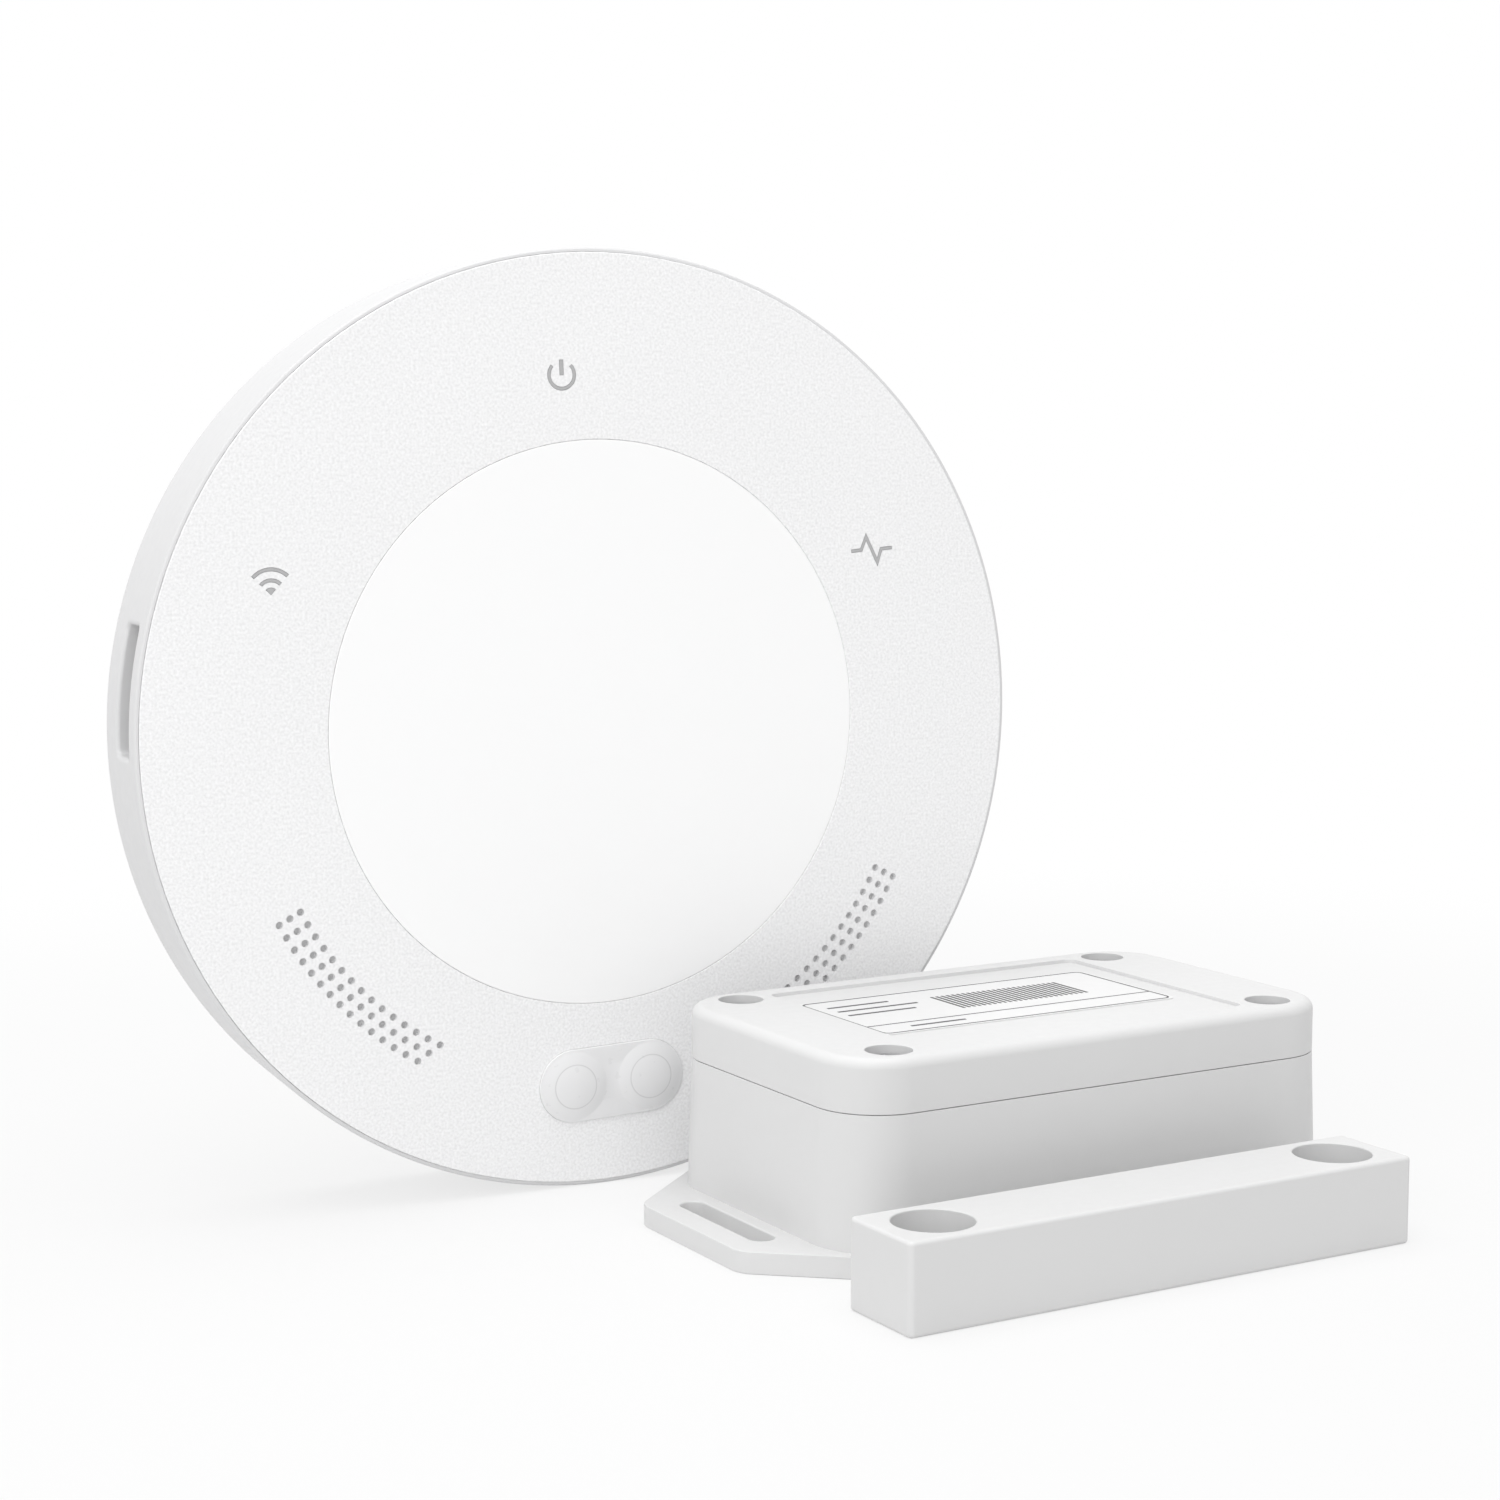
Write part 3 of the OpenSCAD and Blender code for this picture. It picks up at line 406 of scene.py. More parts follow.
# Nodes: a value given to a socket is a number, a colour or the output of another node

def add(tree, kind, inputs=(), **settings):
    """A node of a tree with its settings; inputs are (name or number, value)."""
    node = tree.nodes.new(kind)
    for key, value in settings.items():
        setattr(node, key, value)
    for target, value in inputs:
        if hasattr(value, "is_output"):
            tree.links.new(value, node.inputs[target])
        else:
            node.inputs[target].default_value = value
    return node


def calc(tree, operation, *values):
    """The result of an operation on values."""
    return add(tree, "ShaderNodeMath", enumerate(values), operation=operation).outputs[0]


def spot_of(tree):
    """The place of each point of a surface in its object."""
    return add(tree, "ShaderNodeTexCoord").outputs["Object"]


def noise(tree, where, scale, detail):
    """Noise of one scale, from nought to one."""
    return add(tree, "ShaderNodeTexNoise", [("Vector", where), ("Scale", scale),
                                            ("Detail", detail)]).outputs["Fac"]


def seen_directly(tree):
    """One for what the camera sees, also in a reflection or through glass, and nought for other light."""
    path = add(tree, "ShaderNodeLightPath").outputs
    seen = calc(tree, "MAXIMUM", path["Is Camera Ray"], path["Is Glossy Ray"])
    return calc(tree, "MAXIMUM", seen, path["Is Transmission Ray"])


# Shared node groups

def node_group(name, inputs, outputs):
    """A new shader group with named value and colour sockets, and its two end nodes."""
    group = bpy.data.node_groups.new(name, "ShaderNodeTree")
    for label, default in inputs:
        kind = "NodeSocketColor" if isinstance(default, tuple) else "NodeSocketFloat"
        group.interface.new_socket(label, in_out="INPUT", socket_type=kind).default_value = default
    for label, kind in outputs:
        group.interface.new_socket(label, in_out="OUTPUT", socket_type=kind)
    return group, group.nodes.new("NodeGroupInput").outputs, group.nodes.new("NodeGroupOutput").inputs


def grain_group():
    """Moulded grain: fine noise and noise of three times its size, as a height for the bump and a tone for
    the roughness."""
    group, given, result = node_group("Moulded grain", [("Scale", 2500.0)],
                                      [("Height", "NodeSocketFloat"), ("Tone", "NodeSocketFloat")])
    where = spot_of(group)
    fine = noise(group, where, given["Scale"], 3.0)
    coarse = noise(group, where, calc(group, "MULTIPLY", given["Scale"], 0.31), 2.0)
    group.links.new(calc(group, "MULTIPLY_ADD", fine, 0.6, coarse), result["Height"])
    group.links.new(coarse, result["Tone"])
    return group


def mottle_group():
    """Soft mottle: a colour made slightly lighter and darker by broad noise and by fine flecks."""
    group, given, result = node_group("Soft mottle", [
        ("Color", (0.8, 0.8, 0.8, 1.0)), ("Broad", 0.02), ("Flecks", 0.0), ("Fleck scale", 3000.0)],
        [("Color", "NodeSocketColor")])
    where = spot_of(group)
    broad = calc(group, "SUBTRACT", noise(group, where, 28.0, 2.0), 0.5)
    fleck = calc(group, "SUBTRACT", noise(group, where, given["Fleck scale"], 1.0), 0.5)
    broad = calc(group, "MULTIPLY", broad, given["Broad"])
    gain = calc(group, "ADD", calc(group, "MULTIPLY_ADD", fleck, given["Flecks"], broad), 1.0)
    tinted = add(group, "ShaderNodeVectorMath", [(0, given["Color"]), (1, gain)], operation="MULTIPLY")
    group.links.new(tinted.outputs[0], result["Color"])
    return group


def brush_group():
    """Brushed metal: noise drawn out along one axis, as a tone for the roughness and a height."""
    group, given, result = node_group("Brushed metal", [("Scale", 900.0)],
                                      [("Tone", "NodeSocketFloat"), ("Height", "NodeSocketFloat")])
    drawn = add(group, "ShaderNodeMapping", [("Vector", spot_of(group)), ("Scale", (0.06, 1.0, 1.0))])
    lines = noise(group, drawn.outputs[0], given["Scale"], 3.0)
    for label in ("Tone", "Height"):
        group.links.new(lines, result[label])
    return group


GROUPS = {}


def use_group(tree, make, inputs):
    """Places a shared group in a tree, building the group on its first use."""
    if make not in GROUPS:
        GROUPS[make] = make()
    return add(tree, "ShaderNodeGroup", inputs, node_tree=GROUPS[make]).outputs


# Finishes: what the shader of a material is given, then the materials

def rgba(colour):
    """A colour with full alpha."""
    return (*colour[:3], 1.0)


def new_material(name):
    """An empty node material and its shader."""
    material = bpy.data.materials.new(name)
    material.use_nodes = True
    return material, material.node_tree, material.node_tree.nodes["Principled BSDF"]


def mottle(tree, shader, colour, broad, flecks=0.0, fleck_scale=3000.0):
    """Gives the shader a mottled colour."""
    hue = use_group(tree, mottle_group, [("Color", colour), ("Broad", broad), ("Flecks", flecks),
                                         ("Fleck scale", fleck_scale)])
    tree.links.new(hue["Color"], shader.inputs["Base Color"])


def shade(tree, shader, part, share, colour):
    """Gives the shader a colour that runs from a dark share of it to the whole, as part goes from nought to
    one."""
    dark = tuple(share * c for c in colour)
    hue = add(tree, "ShaderNodeMix", [(0, part), (6, rgba(dark)), (7, rgba(colour))], data_type="RGBA")
    tree.links.new(hue.outputs[2], shader.inputs["Base Color"])


def roughen(tree, shader, tone, low, high):
    """Gives the shader a roughness that runs from low to high over the middle of a tone's range."""
    run = add(tree, "ShaderNodeMapRange", [("Value", tone), ("From Min", 0.3), ("From Max", 0.7),
                                           ("To Min", low), ("To Max", high)])
    tree.links.new(run.outputs[0], shader.inputs["Roughness"])


def emboss(tree, shader, height, strength, deep):
    """Gives the shader bumps from a height."""
    relief = add(tree, "ShaderNodeBump", [("Height", height), ("Strength", strength), ("Distance", deep)])
    tree.links.new(relief.outputs["Normal"], shader.inputs["Normal"])


def plastic(name, colour, rough, scale=2500.0, bump=0.06, spread=0.06, broad=0.025, flecks=0.0,
            fleck_scale=3000.0):
    """Moulded plastic: mottled colour, and roughness and bump from the moulded grain."""
    material, tree, shader = new_material(name)
    mottle(tree, shader, rgba(colour), broad, flecks, fleck_scale)
    skin = use_group(tree, grain_group, [("Scale", scale)])
    roughen(tree, shader, skin["Tone"], rough - spread, rough + spread)
    emboss(tree, shader, skin["Height"], bump, 0.1 * MM)
    return material


def metal(name, colour, rough, scale=900.0, bump=0.08):
    """Bare metal: mottled colour, full metallic, roughness and bump from brushed lines."""
    material, tree, shader = new_material(name)
    mottle(tree, shader, rgba(colour), 0.08)
    lines = use_group(tree, brush_group, [("Scale", scale)])
    roughen(tree, shader, lines["Tone"], rough - 0.08, rough + 0.1)
    emboss(tree, shader, lines["Height"], bump, 0.05 * MM)
    shader.inputs["Metallic"].default_value = 1.0
    return material


def woven_cloth_with_painted_shade(name, colour, pitch):
    """Acoustic cloth: the threads' height is the product of a sine wave across and one up the cloth."""
    material, tree, shader = new_material(name)
    parts = add(tree, "ShaderNodeSeparateXYZ", [(0, spot_of(tree))]).outputs
    waves = [calc(tree, "SINE", calc(tree, "MULTIPLY", parts[axis], 2 * math.pi / pitch)) for axis in "XZ"]
    lift = add(tree, "ShaderNodeMapRange", [("Value", calc(tree, "MULTIPLY", *waves)), ("From Min", -1.0)])
    # Painted shade: the colour falls to 0.55 of itself where the threads lie low
    shade(tree, shader, lift.outputs[0], 0.55, colour)
    emboss(tree, shader, lift.outputs[0], 0.6, 0.08 * MM)
    shader.inputs["Roughness"].default_value = 0.9
    return material


def solder_mask(name, colour, track):
    """Circuit board: green lacquer in which straight tracks show as slightly raised, lighter bands."""
    material, tree, shader = new_material(name)
    lines = add(tree, "ShaderNodeTexBrick", [
        ("Vector", spot_of(tree)), ("Color1", rgba(colour)), ("Color2", rgba([c * 1.15 for c in colour])),
        ("Mortar", rgba(track)), ("Scale", 90.0), ("Mortar Size", 0.035), ("Brick Width", 0.9),
        ("Row Height", 0.24)]).outputs
    mottle(tree, shader, lines["Color"], 0.1)
    emboss(tree, shader, lines["Fac"], 0.25, 0.05 * MM)
    shader.inputs["Roughness"].default_value = 0.35
    return material


def glass(name, colour, rough, through, index):
    """Clear glass: mottled colour, light let through, roughness from the grain."""
    material, tree, shader = new_material(name)
    mottle(tree, shader, rgba(colour), 0.03)
    skin = use_group(tree, grain_group, [("Scale", 900.0)])
    roughen(tree, shader, skin["Tone"], rough * 0.8, rough * 1.2)
    shader.inputs["Transmission Weight"].default_value = through
    shader.inputs["IOR"].default_value = index
    return material


def lens_plastic_with_painted_shade(name, colour, rough, shade_ring_r, line):
    """Pale milky plastic with a darker ring on each dome: the tone rises with the distance from the nearer
    ring until that distance is the line's width."""
    material, tree, shader = new_material(name)
    plane = add(tree, "ShaderNodeVectorMath", [(0, spot_of(tree)), (1, (1, 0, 1))], operation="MULTIPLY")
    off = []
    for x, _, z in on_hub(np.column_stack([lens_ends(), [0, 0]])):
        far = add(tree, "ShaderNodeVectorMath", [(0, plane.outputs[0]), (1, (x, 0, z))],
                  operation="DISTANCE").outputs["Value"]
        off.append(calc(tree, "ABSOLUTE", calc(tree, "SUBTRACT", far, shade_ring_r)))
    tone = add(tree, "ShaderNodeMapRange", [("Value", calc(tree, "MINIMUM", *off)), ("From Max", line)],
               interpolation_type="SMOOTHSTEP")
    # Painted shade: the colour falls to 0.8 of itself along a thin ring on each dome
    shade(tree, shader, tone.outputs[0], 0.8, colour)
    skin = use_group(tree, grain_group, [("Scale", 2500.0)])
    roughen(tree, shader, skin["Tone"], rough - 0.03, rough + 0.03)
    return material


FINISHES = {}


def finish(slot):
    """The material of a slot of the record, made once."""
    if slot not in FINISHES:
        hue = bpy.context.scene.controller_colours
        recipes = {
            "housing_white": lambda n: plastic(n, hue.housing, 0.42, bump=0.05),
            "ring_satin": lambda n: plastic(n, hue.ring, 0.5, scale=3000.0, bump=0.2, spread=0.1,
                                            flecks=0.36, fleck_scale=2800.0),
            "cap_gloss": lambda n: plastic(n, hue.cap, 0.16, scale=400.0, bump=0.012, spread=0.03,
                                           broad=0.01),
            "mark_grey": lambda n: plastic(n, hue.mark, 0.38, bump=0.04),
            # The lens's domes carry a thin ring of painted shade
            "lens_smoke": lambda n: lens_plastic_with_painted_shade(n, hue.lens, 0.3, shade_ring_r=3 * MM, line=0.14 * MM),
            "light_clear": lambda n: plastic(n, (0.86, 0.86, 0.85), 0.18, bump=0.02),
            # The cloth's weave carries painted shade in its dips
            "cloth_pale": lambda n: woven_cloth_with_painted_shade(n, hue.cloth, pitch=0.32 * MM),
            "speaker_black": lambda n: plastic(n, (0.03, 0.03, 0.032), 0.6, bump=0.2),
            "board_green": lambda n: solder_mask(n, (0.012, 0.13, 0.045), track=(0.03, 0.2, 0.07)),
            "screw_steel": lambda n: metal(n, (0.40, 0.40, 0.41), 0.32),
            "light_white": lambda n: plastic(n, (0.88, 0.86, 0.70), 0.5),
            "shield_tin": lambda n: metal(n, (0.72, 0.72, 0.71), 0.28, scale=500.0),
            "antenna_black": lambda n: plastic(n, (0.025, 0.025, 0.027), 0.45),
            "relay_blue": lambda n: plastic(n, (0.03, 0.11, 0.40), 0.4),
            "can_dark": lambda n: metal(n, (0.30, 0.31, 0.33), 0.35),
            "socket_white": lambda n: plastic(n, (0.62, 0.62, 0.62), 0.5),
            "pin_gold": lambda n: metal(n, (0.83, 0.62, 0.24), 0.2),
            "switch_black": lambda n: plastic(n, (0.025, 0.025, 0.027), 0.5),
            "button_grey": lambda n: plastic(n, (0.34, 0.34, 0.35), 0.45),
            "sensor_white": lambda n: plastic(n, hue.sensor, 0.45, bump=0.05),
            "seal_grey": lambda n: plastic(n, (0.09, 0.09, 0.095), 0.7, bump=0.12),
            "label_white": lambda n: plastic(n, hue.label, 0.35, scale=1200.0, bump=0.02),
            "reed_glass": lambda n: glass(n, (0.80, 0.92, 0.86), 0.04, through=0.9, index=1.5),
            "cell_wrap": lambda n: metal(n, (0.62, 0.40, 0.10), 0.3, scale=300.0),
            "magnet_dark": lambda n: metal(n, (0.16, 0.16, 0.17), 0.5, scale=1500.0, bump=0.2),
            "ink": lambda n: plastic(n, hue.ink, 0.5, bump=0.02),
        }
        FINISHES[slot] = recipes[slot](slot)
    return FINISHES[slot]


def dress(*nodes):
    """Gives nodes that keep their packed shape the finish of their slot in the record."""
    slots = {row["node"]: row["material_slot"] for row in frame["record"]["subparts"]}
    for name in nodes:
        for holder in frame["nodes"][name].material_slots:
            holder.material = finish(slots[name])


# Screws, as shares of the head's radius and height and of the shank's radius

CROSS_ARM, CROSS_REACH, CROSS_SOFT, CROSS_DEEP = 0.13, 0.6, 0.07, 0.55
HEAD_EDGE, HEAD_EDGE_FROM = 0.12, 0.9
THREAD_ROOT, THREAD_TOOTH, THREAD_PITCH = 0.82, 0.16, 0.9 * MM


def screw(shell, at, seat, head_r, head_h, crown, shank_r, length, n=72):
    """A screw that stands on its seat: the head falls by the crown times the square of the distance, with a
    cross sunk into it, and the shank's radius falls and rises along a helix."""
    turn = turns(n)
    part = np.linspace(0, 1, 26)[:, None]
    x, y = head_r * part * np.cos(turn), head_r * part * np.sin(turn)
    arm, reach = CROSS_ARM * head_r, CROSS_REACH * head_r
    along = np.maximum(np.abs(x) - reach, np.abs(y) - arm)
    across = np.maximum(np.abs(y) - reach, np.abs(x) - arm)
    sunk = np.clip(0.5 - np.minimum(along, across) / (CROSS_SOFT * head_r), 0, 1)
    sunk = sunk * sunk * (3 - 2 * sunk)
    edge = HEAD_EDGE * head_h * np.clip((part - HEAD_EDGE_FROM) / (1 - HEAD_EDGE_FROM), 0, 1) ** 2
    top = seat + head_h - crown * part ** 2 - edge - CROSS_DEEP * head_h * sunk
    shell.grid(surface(at[0] + x, at[1] + y, top))
    rim, neck = circle(head_r, at, n), circle(shank_r * THREAD_ROOT, at, n)
    shell.wall(rim, seat + head_h - crown - HEAD_EDGE * head_h, seat)
    shell.flat(seat, rim, neck)
    # Shank: the teeth fade in under the head and out near the tip, which draws in
    down = np.linspace(0, 1, 90)[:, None]
    wave = np.abs((down * length / THREAD_PITCH - turn / (2 * np.pi)) % 1 - 0.5) * 2
    fade = np.clip(down * 12, 0, 1) * np.clip((1 - down) * 5, 0, 1)
    tip = np.clip((1 - down) * 9 + 0.25, 0, 1) ** 0.5
    radius = shank_r * (THREAD_ROOT + THREAD_TOOTH * wave * fade) * tip
    rows = surface(at[0] + radius * np.cos(turn), at[1] + radius * np.sin(turn), seat - down * length)
    shell.grid(rows)
    shell.flat(seat - length, rows[-1, :, :2])


# Hub: places on its face and sizes that several pieces share

MARKS = ("power_mark", "radio_mark", "activity_mark")
BOARD_BOSSES = [polar(47.3 * MM, a) for a in (50, 130, 195, 345)]
COVER_SCREWS = [polar(57 * MM, a) for a in (60, 120, 240, 300)]
CAP_POSTS = [polar(30 * MM, a) for a in (90, 210, 330)]
GRILLE_MID, GRILLE_HALF = math.radians(43.82), math.radians(19.94)
GRILLE_IN, GRILLE_OUT = 45.5 * MM, 53.1 * MM
POST_R, MARK_HOLE_R = 2 * MM, 3.7 * MM
LENS_FOOT = 2.48 * MM           # By how much the lens's foot is longer and wider than its plate
BOSS_R, BOARD_BORE_R, COVER_BORE_R = 3.1 * MM, 1.1 * MM, 1.3 * MM
BOARD_BORE_DEEP, COVER_BORE_END = 5.3 * MM, -7.2 * MM


class CONTROLLER_OT_rim(bpy.types.Operator):
    """Builds the hub's rim with its side slot and front wall"""
    bl_idname = "controller.rim"
    bl_label = "Hub rim"

    def execute(self, context):
        p = context.scene.controller_hub
        shell = Shell()
        inside = span("rear_cover").x / 2 + FIT
        back, drop = depth("rim_housing", 1), depth("rim_housing")
        wall_front, wall_back, board = depth("face_ring", 1), depth("left_speaker"), depth("main_board")
        lip_in = p.rim_r - p.lip
        first, last = drop + p.rim_round, back - p.back_round
        port = hub_spot("side_socket")[1]
        slot_mid = np.array([0.0, (wall_back + board) / 2])
        margin, front_margin = 1.5 * MM, 0.9 * MM
        down = 15                   # Points of the slot's patch from its front to its back

        def outer_r(d):
            """Radius of the rim at a depth: it narrows evenly from the front edge to the back edge."""
            return p.rim_r - p.rim_taper * (d - first) / (last - first)

        def turn_at(z, radius):
            """Turn at which a circle has a height, on the side of the slot."""
            return np.pi - np.arcsin(z / radius)

        lo = turn_at(port + p.slot_l / 2 + margin, p.rim_r)
        hi = turn_at(port - p.slot_l / 2 - margin, p.rim_r)
        view = np.linspace(lo, hi, 41)
        rest = np.linspace(hi, lo + 2 * np.pi, 301)
        turn = np.concatenate([view, rest[1:-1]])
        d0, d1 = slot_mid[1] - p.slot_w / 2 - front_margin, slot_mid[1] + p.slot_w / 2 + margin
        steps, inner_steps = np.linspace(d0, d1, down), np.linspace(wall_back, d1, down)

        front = bend(p.rim_r - p.rim_round, -first, p.rim_round, 90, 0, 8)
        heel = bend(p.rim_r - p.rim_taper - p.back_round, -last, p.back_round, 0, -90, 9)
        shell.grid(turned(np.r_[lip_in, lip_in, front[:, 0], outer_r(d0)],
                          np.r_[wall_front, drop, -front[:, 1], d0], turn))
        shell.grid(turned(outer_r(steps), steps, rest), closed=False)
        shell.grid(turned(np.r_[outer_r(d1), heel[:, 0], inside], np.r_[d1, -heel[:, 1], back], turn))

        def border(a, b):
            """Points (turn, depth) round the slot's patch, which reaches from one depth to another."""
            along = np.linspace(a, b, down)
            sides = (view[:-1], a), (view[-1], along[:-1]), (view[:0:-1], b), (view[0], along[:0:-1])
            return np.concatenate([np.stack(np.broadcast_arrays(*side), axis=1) for side in sides])

        # Slot: border points are drawn in to a rounded rectangle and then over its edge
        slot_turns = turn_at(np.array([port + p.slot_l / 2, port - p.slot_l / 2]), p.rim_r)
        slot_mid[0] = slot_turns.mean() * p.rim_r
        half = np.array([np.ptp(slot_turns) * p.rim_r, p.slot_w]) / 2 - p.slot_corner
        edge_in = border(d0, d1) * [p.rim_r, 1]
        core = np.clip(edge_in - slot_mid, -half, half)
        way = edge_in - slot_mid - core
        way /= np.linalg.norm(way, axis=1, keepdims=True)
        edge = slot_mid + core + p.slot_corner * way
        part = np.linspace(0, 1, 5)[:, None, None]
        bow = np.linspace(0, np.pi / 2, 6)[1:, None, None]
        flat = np.concatenate([edge_in * (1 - part) + (edge + p.slot_edge * way) * part,
                               edge + p.slot_edge * (1 - np.sin(bow)) * way])
        sunk = np.concatenate([0 * part, p.slot_edge * (1 - np.cos(bow))])[:, 0]
        rows = wrapped(outer_r(flat[..., 1]) - sunk, flat[..., 0] / p.rim_r, flat[..., 1])
        shell.grid(rows)
        mouth = rows[-1]
        inner_turn = turn_at(mouth[:, 1], inside)
        shell.grid([mouth, surface(inside * np.cos(inner_turn), mouth[:, 1], mouth[:, 2])])
        hem = np.stack([inner_turn, -mouth[:, 2]], axis=1) * (1 - part) + border(wall_back, d1) * part
        shell.grid(wrapped(inside, hem[..., 0], hem[..., 1]))
        shell.grid(turned(np.full(down, inside), inner_steps, rest), closed=False)
        shell.grid(turned([inside, inside], [d1, back], turn))

        # Front wall with the openings of the pieces that sit in it
        lens_gap = LENS_FOOT + 2 * FIT
        opening = [stadium(p.lens_l + lens_gap, p.lens_w + lens_gap, hub_spot("warning_lens"), p.roll)]
        opening += circles(MARK_HOLE_R, [hub_spot(mark) for mark in MARKS], 40)
        opening += circles(POST_R + FIT, CAP_POSTS, 24)
        for mid in (-GRILLE_MID, GRILLE_MID - np.pi):
            opening.append(sector(GRILLE_IN, GRILLE_OUT, mid, GRILLE_HALF))
        feet = [shell.boss(at, -wall_back, -board, BOSS_R, BOARD_BORE_R, -board + BOARD_BORE_DEEP)
                for at in BOARD_BOSSES]
        feet += [shell.boss(at, -wall_back, -depth("rear_cover"), BOSS_R, COVER_BORE_R, COVER_BORE_END)
                 for at in COVER_SCREWS]
        shell.flat(-wall_front, ray(turn) * lip_in, *opening)
        shell.flat(-wall_back, ray(turn) * inside, *opening, *feet)
        for loop in opening:
            shell.wall(loop, -wall_front, -wall_back)
        shell.piece("hub_rim", on_hub, "housing_white", replaces=["rim_housing"])
        return {"FINISHED"}


class CONTROLLER_OT_face(bpy.types.Operator):
    """Builds the gloss centre cap and dresses the face ring and its marks"""
    bl_idname = "controller.face"
    bl_label = "Hub face"

    def execute(self, context):
        p = context.scene.controller_hub
        shell = Shell()
        under = -depth("face_ring", 1)
        loop = circle(p.cap_r, n=320)
        shell.sweep(loop, np.r_[bend(-p.cap_edge, -p.cap_edge, p.cap_edge, 90, 0, 8), [(0, under)]])
        shell.flat(0, grow(loop, -p.cap_edge))
        posts = circles(POST_R, CAP_POSTS, 24)
        shell.flat(under, loop, *posts)
        for post in posts:
            shell.pit(post, under, -depth("center_cap", 1))
        shell.piece("hub_cap", on_hub, "cap_gloss", replaces=["center_cap"])
        dress("face_ring", *MARKS)
        return {"FINISHED"}


class CONTROLLER_OT_lens(bpy.types.Operator):
    """Builds the warning lens with its two domes and the lights behind it"""
    bl_idname = "controller.lens"
    bl_label = "Warning lens"

    def execute(self, context):
        p = context.scene.controller_hub
        at = np.array(hub_spot("warning_lens"))
        seat, back = -depth("face_ring", 1), -depth("warning_lens", 1)
        ends = lens_ends()
        edge, inset = 0.15 * MM, 0.25 * MM
        dome_r = p.lens_w / 2 - inset
        room_r, room_top = 3.2 * MM, -0.8 * MM
        shell = Shell()
        plate = stadium(p.lens_l, p.lens_w, at, p.roll, 64)
        foot = stadium(p.lens_l + LENS_FOOT, p.lens_w + LENS_FOOT, at, p.roll, 64)
        shell.sweep(plate, np.r_[bend(-edge, p.lens_proud - edge, edge, 90, 0), [(0, seat)]])
        shell.flat(p.lens_proud, grow(plate, -edge), *circles(dome_r, ends, 128))
        # Dome: height of a ball's cap above the plate at each distance from its middle
        ball = (dome_r ** 2 + p.dome_h ** 2) / (2 * p.dome_h)
        radius = np.linspace(dome_r, 0, 25)
        rise = np.sqrt(ball ** 2 - radius ** 2) - ball + p.dome_h + p.lens_proud
        for end in ends:
            shell.grid(turned(radius, -rise, turns(128)) + [*end, 0])
        shell.flat(seat, foot, plate)
        shell.wall(foot, seat, back)
        rooms = circles(room_r, ends, 64)
        shell.flat(back, foot, *rooms)
        for room_loop in rooms:
            shell.pit(room_loop, back, room_top)
        shell.piece("hub_lens", on_hub, "lens_smoke", replaces=["warning_lens"])

        # Light: a half ball on a straight body with a collar at its foot
        lamps = Shell()
        tip, end_d = depth("warning_lights"), depth("warning_lights", 1)
        collar_r, collar_d = p.light_r + 0.4 * MM, end_d - 1 * MM
        quarter = np.radians(np.linspace(90, 0, 17))
        radii = np.r_[p.light_r * np.cos(quarter), p.light_r, collar_r, collar_r, 0]
        down = np.r_[tip + p.light_r * (1 - np.sin(quarter)), collar_d, collar_d, end_d, end_d]
        for end in ends:
            lamps.grid(turned(radii, down, turns(72)) + [*end, 0])
        lamps.piece("hub_lights", on_hub, "light_clear", replaces=["warning_lights"])
        return {"FINISHED"}


